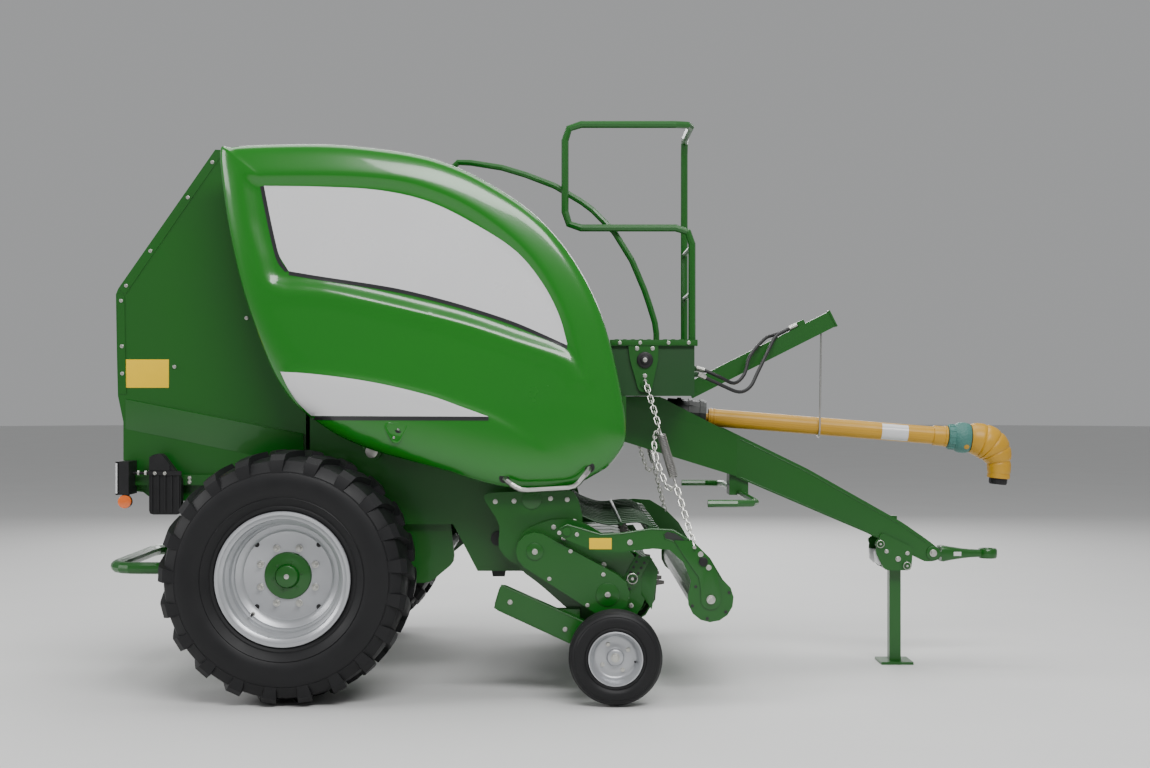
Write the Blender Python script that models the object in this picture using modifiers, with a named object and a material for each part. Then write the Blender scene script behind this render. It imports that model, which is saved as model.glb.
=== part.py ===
"""Round baler: fixed roller chamber, towed, standing on its wheels and its jack.

Metres, +Z up. +X points at the hitch and -Y is the machine's right-hand side.
Lengths are laid out from the axle (X = 0) and the ground (Z = 0); the root empty
then moves the whole machine so that its origin lies under the middle of its box.
"""
import math

import bmesh
import bpy
from mathutils import Matrix, Vector

# ---- clearances
SEAT = 0.0003            # between pieces that touch
RUNNING = 0.006          # between pieces that move past each other
BORE_PLAY = 0.0005       # round a pin or spindle

# ---- wheels
TYRE_RADIUS = 0.586
TYRE_WIDTH = 0.50
TRACK = 2.04
WHEEL_STEPS = 24         # facets round a road wheel
GAUGE_STEPS = 18         # facets round a gauge wheel
RIM_RADIUS = 0.283
RIM_FLANGE = 0.311
HUB_RADIUS = 0.11
HUB_FLANGE = 0.165
SPINDLE_RADIUS = 0.035
AXLE_BEAM = 0.11
GAUGE_RADIUS = 0.215
GAUGE_WIDTH = 0.16
GAUGE_RIM = 0.118
GAUGE_CLEARANCE = 0.008  # under the gauge wheels when parked

# ---- bale chamber
INNER_WIDTH = 1.23
WALL = 0.045
BALE_RADIUS = 0.625
ROLLER_RADIUS = 0.105
ROLLER_COUNT = 18
FEED_ROLLER = 16         # the roller left out of the ring, where the crop comes in
CHAMBER_X = 0.025
CHAMBER_Z = 1.70
SHEET = 0.012
HINGE_X = 0.095
HINGE_Z = 2.575
HINGE_PIN = 0.02
HINGE_EYE = 0.05
EAR_PLATE = 0.014

# ---- side covers
COVER_EDGE_Y = 0.945     # outer edge of the pressed panel
COVER_BULGE = 0.07       # how far the panel swells past its edge
COVER_SKIN = 0.012
COVER_HINGE_Y = 0.69
COVER_HINGE_Z = 2.60
COVER_PIN = 0.005
COVER_HANDLE_RADIUS = 0.013

# ---- tailgate rams
RAM_OUT = 0.065          # from the chamber's wall to a ram's middle line
RAM_RADIUS = 0.035
RAM_ROD_RADIUS = 0.018
RAM_PIN = 0.018
RAM_FOOT = (0.35, 1.15)
RAM_EYE = (-0.22, 2.20)
RAM_BARREL_LENGTH = 0.95

# ---- drawbar, jack and hitch
DRAWBAR_HALF = 0.09
BAR_BOTTOM = ((1.95, 1.095), (2.892, 0.692))
HEAD_X = 1.4503          # rear face of the headstock, against the chamber's front edges
HEAD_DEPTH = 0.14
HEAD_BOTTOM = 1.22
HEAD_TOP = 1.42
BRACE_REAR_Y = 0.42
HITCH_X = 3.246
HITCH_Z = 0.58
HITCH_REACH = 0.298      # from the last drawbar bolt to the middle of the ring
HITCH_RING = 0.050
HITCH_THICK = 0.053
JACK_X = 3.045
JACK_HALF = 0.030
JACK_TOP = 0.735
JACK_FOOT = 0.17

# ---- drive shaft
SHAFT_X = 2.032
SHAFT_Z = 1.306
SHAFT_SLOPE = -0.0800    # rise over run towards the tractor
SHAFT_RADIUS = 0.047
SHAFT_LENGTH = 1.30
COLLAR_LENGTH = 0.12
SHAFT_PIVOT_BACK = -0.085
FORK_INNER = 0.030
GUARD_RINGS = 10
END_GUARD_REACH = 0.230  # from the collar's end to the end guard's foremost point
HANGER_X = 2.64
HANGER_WIRE = 0.005

# ---- front equipment
PLATFORM_Z = 1.698
PLATFORM_REAR = 1.513
PLATFORM_FRONT = 1.944
PLATFORM_SIDE = 0.64
RAIL_RADIUS = 0.018
RAIL_X = 1.919
RAIL_BACK = 1.29
RAIL_TOP = 2.766
RAIL_LOW = 2.253
RAIL_Y = 0.60
RAIL_FAR_Y = 0.10
ARM_FOOT = (1.985, 1.466)
ARM_TIP = (2.693, 1.823)
ARM_HEIGHT = 0.085
ARM_Y = -0.10
ARM_HALF = 0.03
HOSE_RADIUS = 0.009
HOSE_LAY = 0.0035        # under the hoses where they lie on the arm
GLAND_LENGTH = 0.03
GLAND_SHARE = 0.78       # where along the arm the hoses end
GUIDE_Y = 0.56
GUIDE_X = 0.70
GUIDE_RADIUS = 0.015
BAR_X = 2.215
BAR_Y = 0.85
BAR_Z = 0.905

# ---- pickup
PIVOT_X = 1.147
PIVOT_Z = 0.688
PIVOT_PIN = 0.03
TOWER_Y = 0.84
TOWER_PLATE = 0.02
CARRIER_X = 1.13
CARRIER_Z = 0.925
CARRIER_RADIUS = 0.035
PICKUP_PLATE = 0.018
REEL_X = 1.545
REEL_Z = 0.50
BAND_RADIUS = 0.19
TINE_RADIUS = 0.235
BAND_COUNT = 8
BAND_SPAN = 0.83
TINE_GAP = 0.035
REEL_SHAFT = 0.03
BEAM_X = 1.275
BEAM_Z = 0.60
DRIVE_OUT = 0.985
GAUGE_STUB = 0.0125
GUARD_PIN = 0.02
ROLLER_STUB = 0.015
ROTOR_STARS = 5
GAUGE_X = 1.52
GAUGE_Y = 1.17
GUARD_X = 1.297
GUARD_Z = 0.786
GUARD_PLATE_Y = 1.006
CROP_ROLLER_X = 1.973
CROP_ROLLER_Z = 0.468
CROP_ROLLER_RADIUS = 0.095
ROTOR_X = 0.96
ROTOR_Z = 0.72
ROTOR_RADIUS = 0.20

# ---- rear
BUMPER_REAR = -0.995
BUMPER_Z = 0.556
BUMPER_HALF = 0.50
BUMPER_RADIUS = 0.03
BUMPER_PLAY = 0.0008
LAMP_ARM_REAR = -0.81
CHOCK_THICK = 0.05

HALF_IN = INNER_WIDTH / 2
HALF_OUT = HALF_IN + WALL
HALF_TRACK = TRACK / 2
RAM_Y = HALF_OUT + RAM_OUT
AXLE_Z = TYRE_RADIUS
GAUGE_Z = GAUGE_RADIUS + GAUGE_CLEARANCE
RING_RADIUS = BALE_RADIUS + ROLLER_RADIUS
SHAFT_ANGLE = math.atan(SHAFT_SLOPE)
SHAFT_PIVOT = (SHAFT_X + SHAFT_PIVOT_BACK * math.cos(SHAFT_ANGLE), 0.0,
               SHAFT_Z + SHAFT_PIVOT_BACK * math.sin(SHAFT_ANGLE))
ARM_SLOPE = (ARM_TIP[1] - ARM_FOOT[1]) / (ARM_TIP[0] - ARM_FOOT[0])
ARM_UNDERSIDE = (ARM_FOOT[1] + ARM_SLOPE * (HANGER_X - ARM_FOOT[0])
                 - ARM_HEIGHT / 2 * math.hypot(1.0, ARM_SLOPE))
FRONT_REACH = SHAFT_X + SHAFT_LENGTH + COLLAR_LENGTH + END_GUARD_REACH
REAR_REACH = BUMPER_REAR - BUMPER_RADIUS
MIDDLE_X = (FRONT_REACH + REAR_REACH) / 2

SIDES = ((-1, "r"), (1, "l"))


# ------------------------------------------------------------------ scene helpers
def clear_scene():
    """Remove whatever the file opened with."""
    for obj in list(bpy.data.objects):
        bpy.data.objects.remove(obj, do_unlink=True)


def new_collection(name):
    """A collection linked to the scene."""
    collection = bpy.data.collections.new(name)
    bpy.context.scene.collection.children.link(collection)
    return collection


def paint(name, colour, roughness, metallic=0.0):
    """A plain Principled material."""
    material = bpy.data.materials.new(name)
    material.use_nodes = True
    shader = material.node_tree.nodes["Principled BSDF"]
    shader.inputs["Base Color"].default_value = (*colour, 1.0)
    shader.inputs["Roughness"].default_value = roughness
    shader.inputs["Metallic"].default_value = metallic
    return material


clear_scene()
PARTS = new_collection("round_baler")
GREEN = paint("machine_green", (0.012, 0.16, 0.012), 0.32)
COVER_GREEN = paint("cover_green", (0.02, 0.25, 0.015), 0.18)
DARK = paint("dark_sheet", (0.02, 0.022, 0.02), 0.45)
TYRE_BLACK = paint("tyre_black", (0.012, 0.012, 0.012), 0.75)
SILVER = paint("rim_silver", (0.55, 0.56, 0.57), 0.38, 0.6)
STEEL = paint("bare_steel", (0.5, 0.5, 0.5), 0.3, 1.0)
YELLOW = paint("guard_yellow", (0.72, 0.42, 0.03), 0.45)
TEAL = paint("collar_teal", (0.06, 0.25, 0.22), 0.5)
BLACK = paint("black_plastic", (0.015, 0.015, 0.015), 0.5)


# ------------------------------------------------------------------ shape helpers
def mesh_object(mesh):
    """Wrap a mesh in an object that lies in machine space."""
    obj = bpy.data.objects.new("shape", mesh)
    bpy.context.scene.collection.objects.link(obj)
    return obj


def bake(obj, weld=True):
    """Turn an object and its modifiers into a plain mesh object in machine space."""
    if obj.name not in bpy.context.scene.collection.objects:
        bpy.context.scene.collection.objects.link(obj)
    graph = bpy.context.evaluated_depsgraph_get()
    graph.update()
    mesh = bpy.data.meshes.new_from_object(obj.evaluated_get(graph))
    mesh.transform(obj.matrix_world)
    if weld:
        work = bmesh.new()
        work.from_mesh(mesh)
        bmesh.ops.remove_doubles(work, verts=work.verts, dist=0.00001)
        bmesh.ops.recalc_face_normals(work, faces=work.faces)
        work.to_mesh(mesh)
        work.free()
    bpy.data.objects.remove(obj, do_unlink=True)
    return mesh_object(mesh)


def combine(base, others, operation="UNION"):
    """Boolean every other shape into the base one and use them up."""
    for other in others:
        modifier = base.modifiers.new("combine", "BOOLEAN")
        modifier.operation = operation
        modifier.solver = "EXACT"
        modifier.object = other
        base = bake(base, weld=False)
        bpy.data.objects.remove(other, do_unlink=True)
    return base


def cut(base, others):
    """Subtract every other shape from the base one."""
    return combine(base, others, "DIFFERENCE")


def box(low, high):
    """An upright block between two corners."""
    work = bmesh.new()
    bmesh.ops.create_cube(work, size=1.0)
    size = Vector(high) - Vector(low)
    middle = (Vector(high) + Vector(low)) / 2
    stretch = Matrix.Diagonal((abs(size.x), abs(size.y), abs(size.z), 1.0))
    bmesh.ops.transform(work, matrix=Matrix.Translation(middle) @ stretch, verts=work.verts)
    mesh = bpy.data.meshes.new("block")
    work.to_mesh(mesh)
    work.free()
    return mesh_object(mesh)


def rod(start, end, radius, sides=16, end_radius=None):
    """A round bar, or a cone where the second radius differs."""
    start = Vector(start)
    end = Vector(end)
    work = bmesh.new()
    bmesh.ops.create_cone(work, cap_ends=True, segments=sides, radius1=radius,
                          radius2=radius if end_radius is None else end_radius,
                          depth=(end - start).length)
    turn = (end - start).to_track_quat("Z", "Y").to_matrix().to_4x4()
    bmesh.ops.transform(work, matrix=Matrix.Translation((start + end) / 2) @ turn, verts=work.verts)
    mesh = bpy.data.meshes.new("bar")
    work.to_mesh(mesh)
    work.free()
    return mesh_object(mesh)


def hull(points):
    """The convex solid round a set of points."""
    work = bmesh.new()
    bmesh.ops.convex_hull(work, input=[work.verts.new(point) for point in points])
    bmesh.ops.recalc_face_normals(work, faces=work.faces)
    mesh = bpy.data.meshes.new("hull")
    work.to_mesh(mesh)
    work.free()
    return mesh_object(mesh)


def circle(centre, radius, sides=20):
    """Points round a circle in the XZ plane."""
    return [(centre[0] + radius * math.cos(2 * math.pi * i / sides),
             centre[1] + radius * math.sin(2 * math.pi * i / sides)) for i in range(sides)]


def arc(centre, radius, start, end, steps):
    """Points along an arc in the XZ plane, angles in degrees."""
    points = []
    for i in range(steps + 1):
        angle = math.radians(start + (end - start) * i / steps)
        points.append((centre[0] + radius * math.cos(angle), centre[1] + radius * math.sin(angle)))
    return points


def filleted(points, radius, steps=2, closed=True):
    """Round the corners of a polyline of 2D or 3D points."""
    corners = [Vector(point).to_3d() for point in points]
    flat = len(points[0]) == 2
    result = []
    count = len(corners)
    for i, corner in enumerate(corners):
        if not closed and i in (0, count - 1):
            result.append(corner)
            continue
        before = (corners[i - 1] - corner)
        after = (corners[(i + 1) % count] - corner)
        reach = min(radius, before.length * 0.45, after.length * 0.45)
        first = corner + before.normalized() * reach
        last = corner + after.normalized() * reach
        for step in range(steps + 1):
            t = step / steps
            result.append(first.lerp(corner, t).lerp(corner.lerp(last, t), t))
    return [tuple(point)[:2] for point in result] if flat else [tuple(point) for point in result]


def slab(outline, y_a, y_b, holes=()):
    """A flat plate: a closed XZ outline between two values of Y."""
    curve = bpy.data.curves.new("outline", "CURVE")
    curve.dimensions = "2D"
    curve.fill_mode = "BOTH"
    curve.extrude = abs(y_b - y_a) / 2
    for loop in (outline, *holes):
        spline = curve.splines.new("POLY")
        spline.points.add(len(loop) - 1)
        for point, (x, z) in zip(spline.points, loop):
            point.co = (x, z, 0.0, 1.0)
        spline.use_cyclic_u = True
    obj = bpy.data.objects.new("plate", curve)
    obj.rotation_euler = (math.pi / 2, 0, 0)
    obj.location = (0, (y_a + y_b) / 2, 0)
    plate = bake(obj)
    work = bmesh.new()
    work.from_mesh(plate.data)
    bmesh.ops.dissolve_limit(work, angle_limit=math.radians(0.1), verts=work.verts, edges=work.edges)
    work.to_mesh(plate.data)
    work.free()
    return plate


def side_slab(side, outline, inner, outer, holes=()):
    """A plate on one side of the machine, between two distances from its middle."""
    return slab(outline, side * inner, side * outer, holes)


def tube(path, radius, bend=0.0, sides=8, bend_steps=2):
    """A round tube along a path whose corners are bent."""
    points = filleted(path, bend, bend_steps, closed=False) if bend else path
    curve = bpy.data.curves.new("tube", "CURVE")
    curve.dimensions = "3D"
    curve.bevel_depth = radius
    curve.bevel_resolution = sides // 2 - 2
    curve.use_fill_caps = True
    spline = curve.splines.new("POLY")
    spline.points.add(len(points) - 1)
    for point, place in zip(spline.points, points):
        point.co = (*place, 1.0)
    return bake(bpy.data.objects.new("tube", curve))


def turned(profile, centre, direction, steps=32, closed=True):
    """Turn a profile of (radius, height) about a Y axis through a centre.

    Heights run along +Y where direction is 1 and along -Y where it is -1.
    """
    mesh = bpy.data.meshes.new("profile")
    edges = [(i, i + 1) for i in range(len(profile) - 1)]
    if closed:
        edges.append((len(profile) - 1, 0))
    mesh.from_pydata([(radius, 0.0, height) for radius, height in profile], edges, [])
    obj = mesh_object(mesh)
    screw = obj.modifiers.new("turn", "SCREW")
    screw.axis = "Z"
    screw.steps = steps
    screw.render_steps = steps
    screw.use_merge_vertices = True
    screw.merge_threshold = 0.00001
    obj.rotation_euler = (-direction * math.pi / 2, 0, 0)
    obj.location = centre
    return bake(obj)


# ------------------------------------------------------------------ bodies and nodes
ROOT = bpy.data.objects.new("machine", None)
ROOT.location = (-MIDDLE_X, 0, 0)
PARTS.objects.link(ROOT)


def pivot(name, place, parent=None):
    """An empty on a joint's axis; place is in machine space."""
    empty = bpy.data.objects.new(name, None)
    empty["place"] = place
    carrier = parent if parent else ROOT
    origin = Vector(parent["place"]) if parent else Vector((0, 0, 0))
    empty.parent = carrier
    empty.location = Vector(place) - origin
    PARTS.objects.link(empty)
    return empty


def node(name, shape, material, body=None, sharp=35):
    """Name a finished shape, colour it and hang it on its body."""
    if body:
        shape.data.transform(Matrix.Translation(-Vector(body["place"])))
    shape.parent = body if body else ROOT
    shape.name = name
    shape.data.name = name
    shape.data.materials.clear()
    shape.data.materials.append(material)
    shape.data.shade_smooth()
    shape.data.set_sharp_from_angle(angle=math.radians(sharp))
    bpy.context.scene.collection.objects.unlink(shape)
    PARTS.objects.link(shape)
    return shape


# ------------------------------------------------------------------ running gear
def tyre(centre, side, outer, width, inner, flange, wall, steps):
    """A hollow tyre: tread, bulged walls and beads between the rim's flanges."""
    bead = width / 2 - 0.046 * width / 0.5
    half = width / 2
    depth = outer - inner
    half_profile = [
        (inner + SEAT, bead), (flange + SEAT, bead), (inner + depth * 0.45, half),
        (outer - depth * 0.12, half * 0.93), (outer, half * 0.70),
    ]
    inside = [(inner + SEAT, bead - wall), (outer - wall * 1.8, half * 0.72)]
    outer_run = half_profile + [(r, -h) for r, h in reversed(half_profile)]
    inner_run = [(r, -h) for r, h in inside] + list(reversed(inside))
    return turned(outer_run + inner_run, centre, side, steps)


def main_rim(centre, side):
    """Barrel, flanges and recessed disc of a road wheel; height grows outboard."""
    bead = TYRE_WIDTH / 2 - 0.046 + SEAT
    lip = bead + 0.017
    barrel = RIM_RADIUS - 0.015
    disc = 0.045
    seat = (RIM_RADIUS - 0.008, bead + 0.004)
    profile = [
        (RIM_FLANGE, lip), (RIM_FLANGE, bead), (RIM_RADIUS, bead), (RIM_RADIUS, -bead),
        (RIM_FLANGE, -bead), (RIM_FLANGE, -lip), (RIM_FLANGE - 0.013, -lip), (seat[0], -seat[1]),
        (barrel, -bead + 0.02), (barrel, disc),
        (HUB_RADIUS + SEAT, disc), (HUB_RADIUS + SEAT, disc + 0.015), (barrel - 0.050, disc + 0.015),
        (barrel - 0.006, 0.11), seat, (RIM_FLANGE - 0.013, lip),
    ]
    return turned(profile, centre, side, WHEEL_STEPS)


def main_hub(centre, side):
    """Hub with its bolting flange and raised cap, bored for the spindle."""
    face = 0.045 - SEAT
    bore = SPINDLE_RADIUS + BORE_PLAY
    profile = [
        (0.0, 0.105), (0.050, 0.105), (0.058, 0.075), (HUB_RADIUS, 0.075), (HUB_RADIUS, face),
        (HUB_FLANGE, face), (HUB_FLANGE, 0.022), (0.085, 0.022),
        (0.085, -0.095), (bore, -0.095), (bore, 0.050), (0.0, 0.050),
    ]
    return turned(profile, centre, side, WHEEL_STEPS, closed=False)


def build_wheels():
    """The two road wheels, each a body of three pieces."""
    for side, tag in SIDES:
        centre = (0, side * HALF_TRACK, AXLE_Z)
        body = pivot("wheel_" + tag, centre)
        rubber = tyre(centre, side, TYRE_RADIUS, TYRE_WIDTH, RIM_RADIUS, RIM_FLANGE, 0.03, WHEEL_STEPS)
        node("wheel_tyre_" + tag, rubber, TYRE_BLACK, body)
        node("wheel_rim_" + tag, main_rim(centre, side), SILVER, body)
        node("wheel_hub_" + tag, main_hub(centre, side), GREEN, body)


def build_axle():
    """Square beam with drum flanges and turned spindles."""
    half = AXLE_BEAM / 2
    drum_out = HALF_TRACK - 0.095 - SEAT
    beam_end = drum_out - 0.06
    beam = box((-half, -beam_end, AXLE_Z - half), (half, beam_end, AXLE_Z + half))
    ends = []
    for side, _ in SIDES:
        ends.append(rod((0, side * (beam_end - 0.03), AXLE_Z), (0, side * drum_out, AXLE_Z), 0.10, 20))
        ends.append(rod((0, side * (drum_out - 0.01), AXLE_Z),
                        (0, side * (HALF_TRACK + 0.045), AXLE_Z), SPINDLE_RADIUS, 20))
    node("axle", combine(beam, ends), GREEN)


def lamp_arm(side):
    """Bracket that carries a rear lamp and a wheel chock beside the tailgate."""
    inner = HALF_OUT + 0.02
    arm = box((LAMP_ARM_REAR, side * inner, 0.985), (-0.30, side * (inner + 0.03), 1.035))
    post = box((-0.36, side * inner, AXLE_Z + 0.05), (-0.30, side * (inner + 0.03), 1.035))
    foot = box((-0.36, side * (HALF_IN - 0.03), AXLE_Z + 0.02), (-0.30, side * (inner + 0.03), AXLE_Z + 0.07))
    return [arm, post, foot]


def build_chassis():
    """Two cheeks under the chamber walls, tied by tubes, with the lamp arms."""
    outer = HALF_IN - SEAT
    outline = filleted([
        (-0.42, AXLE_Z - 0.09), (-0.42, 0.68), (-0.15, 0.845), (0.50, 0.845), (0.57, 1.02),
        (0.70, 1.02), (0.745, 0.60), (0.62, AXLE_Z - 0.09),
    ], 0.03)
    cheeks = [side_slab(side, outline, outer - 0.035, outer) for side, _ in SIDES]
    ties = [
        rod((-0.35, -outer + 0.01, AXLE_Z - 0.01), (-0.35, outer - 0.01, AXLE_Z - 0.01), 0.04, 12),
        rod((0.66, -outer + 0.01, 0.62), (0.66, outer - 0.01, 0.62), 0.04, 12),
        rod((0.25, -outer + 0.01, 0.72), (0.25, outer - 0.01, 0.72), 0.05, 12),
    ]
    arms = []
    for side, _ in SIDES:
        arms += lamp_arm(side)
    body = combine(cheeks[0], ties + [cheeks[1]] + arms)
    half = AXLE_BEAM / 2 + SEAT
    seat = box((-half, -1.0, AXLE_Z - half), (half, 1.0, AXLE_Z + half))
    bores = [rod((-0.60, side * BUMPER_HALF, BUMPER_Z), (-0.30, side * BUMPER_HALF, BUMPER_Z),
                 BUMPER_RADIUS + BUMPER_PLAY, 24) for side, _ in SIDES]
    node("chassis", cut(body, [seat] + bores), GREEN)


# ------------------------------------------------------------------ chamber
def ring_place(index, radius=RING_RADIUS):
    """Middle of one roller of the ring; roller 0 lies straight ahead."""
    angle = 2 * math.pi * index / ROLLER_COUNT
    return CHAMBER_X + radius * math.cos(angle), CHAMBER_Z + radius * math.sin(angle)


def chamber_roller(index):
    """One roller, let into both side walls."""
    x, z = ring_place(index)
    reach = HALF_IN + 0.01
    return rod((x, -reach, z), (x, reach, z), ROLLER_RADIUS, 10)


def is_rear(index):
    """Whether a roller belongs to the tailgate."""
    return ring_place(index)[0] < CHAMBER_X


def front_outline():
    """Side wall of the fixed half, from the split line forward."""
    split = CHAMBER_X + 0.010
    notch = arc((HINGE_X, HINGE_Z), HINGE_EYE + RUNNING, 250, 330, 5)
    return [(split, 0.79), (split, 2.43)] + notch + [
        (0.22, 2.545), (0.45, 2.53), (0.66, 2.48), (0.86, 2.38), (1.03, 2.27), (1.17, 2.13),
        (1.28, 1.97), (1.37, 1.80), (1.43, 1.62), (1.45, 1.42), (1.45, 1.22), (1.30, 1.13),
        (1.22, 1.05), (1.22, 0.70), (1.15, 0.56), (0.86, 0.56), (0.74, 0.79),
    ]


def front_sheet_run():
    """Middle line of the roof and front sheet between the fixed walls."""
    return [(0.23, 2.535), (0.45, 2.52), (0.66, 2.47), (0.855, 2.372), (1.022, 2.262),
            (1.162, 2.124), (1.27, 1.966), (1.36, 1.797), (1.42, 1.618), (1.44, 1.42), (1.44, 1.24)]


def sheet_top(x):
    """Height of the roof sheet's outer line at some X."""
    run = front_sheet_run()
    for (x0, z0), (x1, z1) in zip(run, run[1:]):
        if x0 <= x <= x1:
            return z0 + (z1 - z0) * (x - x0) / (x1 - x0)
    return run[0][1]


def strip(run, thickness):
    """Close an open XZ run into the outline of a sheet of some thickness."""
    inner = []
    for i, (x, z) in enumerate(run):
        before = run[max(i - 1, 0)]
        after = run[min(i + 1, len(run) - 1)]
        along = Vector((after[0] - before[0], after[1] - before[1])).normalized()
        inner.append((x - along.y * thickness * -1, z - along.x * thickness))
    return list(run) + list(reversed(inner))


def cover_hinge_fixed(side):
    """Pin and posts on the wall's top that carry one side cover."""
    posts = []
    wall_y = HALF_OUT - 0.02
    for x in (0.165, 0.30, 0.435):
        corners = []
        for edge in (x - 0.006, x + 0.006):
            corners += [(edge, side * wall_y, 2.44), (edge, side * wall_y, 2.50)]
            for y, z in circle((COVER_HINGE_Y, COVER_HINGE_Z), 0.011, 10):
                corners.append((edge, side * y, z))
        posts.append(hull(corners))
    pin = rod((0.155, side * COVER_HINGE_Y, COVER_HINGE_Z), (0.445, side * COVER_HINGE_Y, COVER_HINGE_Z),
              COVER_PIN, 12)
    return [combine(pin, posts)]


def hinge_ear(side):
    """Outboard ear, its spacer and the pin on which the tailgate swings."""
    inner = HALF_OUT + RUNNING
    outline = filleted([(HINGE_X - 0.04, HINGE_Z + 0.035), (HINGE_X + 0.05, HINGE_Z + 0.035),
                        (0.26, 2.50), (0.26, 2.40), (0.10, 2.40)], 0.02)
    ear = side_slab(side, outline, inner, inner + EAR_PLATE)
    spacer = box((0.17, side * (HALF_OUT - 0.01), 2.41), (0.25, side * (inner + 0.002), 2.49))
    pin = rod((HINGE_X, side * (HALF_IN - 0.01), HINGE_Z),
              (HINGE_X, side * (inner + EAR_PLATE - 0.002), HINGE_Z), HINGE_PIN, 20)
    return [ear, spacer, pin]


def build_chamber_front():
    """Fixed half of the chamber: walls, rollers, roof and front sheet, hinge and ram pins."""
    outline = front_outline()
    walls = [side_slab(side, outline, HALF_IN, HALF_OUT) for side, _ in SIDES]
    rollers = [chamber_roller(i) for i in range(ROLLER_COUNT) if not is_rear(i) and i != FEED_ROLLER]
    sheet = slab(strip(front_sheet_run(), SHEET), -HALF_IN - 0.01, HALF_IN + 0.01)
    extras = []
    for side, _ in SIDES:
        extras += hinge_ear(side)
        extras.append(rod((RAM_FOOT[0], side * (HALF_OUT - 0.01), RAM_FOOT[1]),
                          (RAM_FOOT[0], side * (RAM_Y + 0.034), RAM_FOOT[1]), RAM_PIN, 16))
        extras += cover_hinge_fixed(side)
    body = combine(walls[0], rollers + [sheet, walls[1]] + extras)
    carrier = rod((CARRIER_X, -1, CARRIER_Z), (CARRIER_X, 1, CARRIER_Z), CARRIER_RADIUS + SEAT, 20)
    rotor = rod((ROTOR_X, -1, ROTOR_Z), (ROTOR_X, 1, ROTOR_Z), SPINDLE_RADIUS + BORE_PLAY, 24)
    node("chamber_front", cut(body, [carrier, rotor]), GREEN)


def tailgate_outline():
    """Side plate of the tailgate, with the hinge eye as its front top corner."""
    split = CHAMBER_X - 0.010
    eye = arc((HINGE_X, HINGE_Z), HINGE_EYE, 90, -120, 10)
    return [(-0.432, 2.631)] + eye + [
        (split, 2.44), (split, 0.875), (-0.35, 0.89), (-0.733, 0.914), (-0.794, 0.963),
        (-0.838, 0.953), (-0.882, 1.106), (-0.882, 1.293), (-0.909, 1.422), (-0.914, 1.625),
        (-0.919, 1.922), (-0.909, 1.947),
    ]


def tailgate_sheet_run():
    """Outer line of the tailgate's bent sheet, from its floor lip to the roof."""
    return [(-0.735, 0.916), (-0.79, 0.957), (-0.836, 0.957), (-0.880, 1.106), (-0.880, 1.293),
            (-0.907, 1.422), (-0.912, 1.625), (-0.917, 1.922), (-0.907, 1.945), (-0.431, 2.628),
            (-0.03, 2.603)]


def build_tailgate():
    """Lifting rear half: side plates, bent sheet, rollers and ram lugs."""
    body = pivot("tailgate_hinge", (HINGE_X, 0, HINGE_Z))
    outline = tailgate_outline()
    bore = circle((HINGE_X, HINGE_Z), HINGE_PIN + BORE_PLAY, 24)
    plates = [side_slab(side, outline, HALF_IN, HALF_OUT - 0.002, [bore]) for side, _ in SIDES]
    rollers = [chamber_roller(i) for i in range(ROLLER_COUNT) if is_rear(i)]
    sheet = slab(strip(tailgate_sheet_run(), -SHEET), -HALF_IN - 0.01, HALF_IN + 0.01)
    lugs = []
    for side, _ in SIDES:
        lugs.append(side_slab(side, circle(RAM_EYE, 0.055, 20), HALF_OUT - 0.01, RAM_Y - 0.030 - 0.002))
    shape = combine(plates[0], rollers + [sheet, plates[1]] + lugs)
    node("tailgate", shape, GREEN, body)
    return body


def ram_direction():
    """Unit vector from the ram's foot to its eye in the XZ plane."""
    return Vector((RAM_EYE[0] - RAM_FOOT[0], RAM_EYE[1] - RAM_FOOT[1])).normalized()


def ram_point(side, distance):
    """A point along a ram, measured from its foot."""
    way = ram_direction()
    return RAM_FOOT[0] + way.x * distance, side * RAM_Y, RAM_FOOT[1] + way.y * distance


def build_rams():
    """Tailgate rams: a barrel that swings on the wall pin and a rod that slides in it."""
    span = (Vector(RAM_EYE) - Vector(RAM_FOOT)).length
    for side, tag in SIDES:
        foot = (RAM_FOOT[0], side * RAM_Y, RAM_FOOT[1])
        barrel_body = pivot("ram_barrel_pivot_" + tag, foot)
        rod_body = pivot("ram_rod_slide_" + tag, foot, barrel_body)
        barrel = combine(rod(ram_point(side, 0.03), ram_point(side, RAM_BARREL_LENGTH), RAM_RADIUS, 20),
                         [side_slab(side, circle(RAM_FOOT, 0.042, 20), RAM_Y - 0.022, RAM_Y + 0.022)])
        barrel = cut(barrel, [
            rod(ram_point(side, 0.08), ram_point(side, RAM_BARREL_LENGTH + 0.05),
                RAM_ROD_RADIUS + BORE_PLAY, 20),
            rod((RAM_FOOT[0], side * (RAM_Y - 0.1), RAM_FOOT[1]),
                (RAM_FOOT[0], side * (RAM_Y + 0.1), RAM_FOOT[1]), RAM_PIN + BORE_PLAY, 18),
        ])
        node("ram_barrel_" + tag, barrel, GREEN, barrel_body)
        eye = side_slab(side, circle(RAM_EYE, 0.038, 20), RAM_Y - 0.030, RAM_Y + 0.022)
        stem = rod(ram_point(side, 0.10), ram_point(side, span), RAM_ROD_RADIUS, 20)
        node("ram_rod_" + tag, combine(stem, [eye]), STEEL, rod_body)


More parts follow.
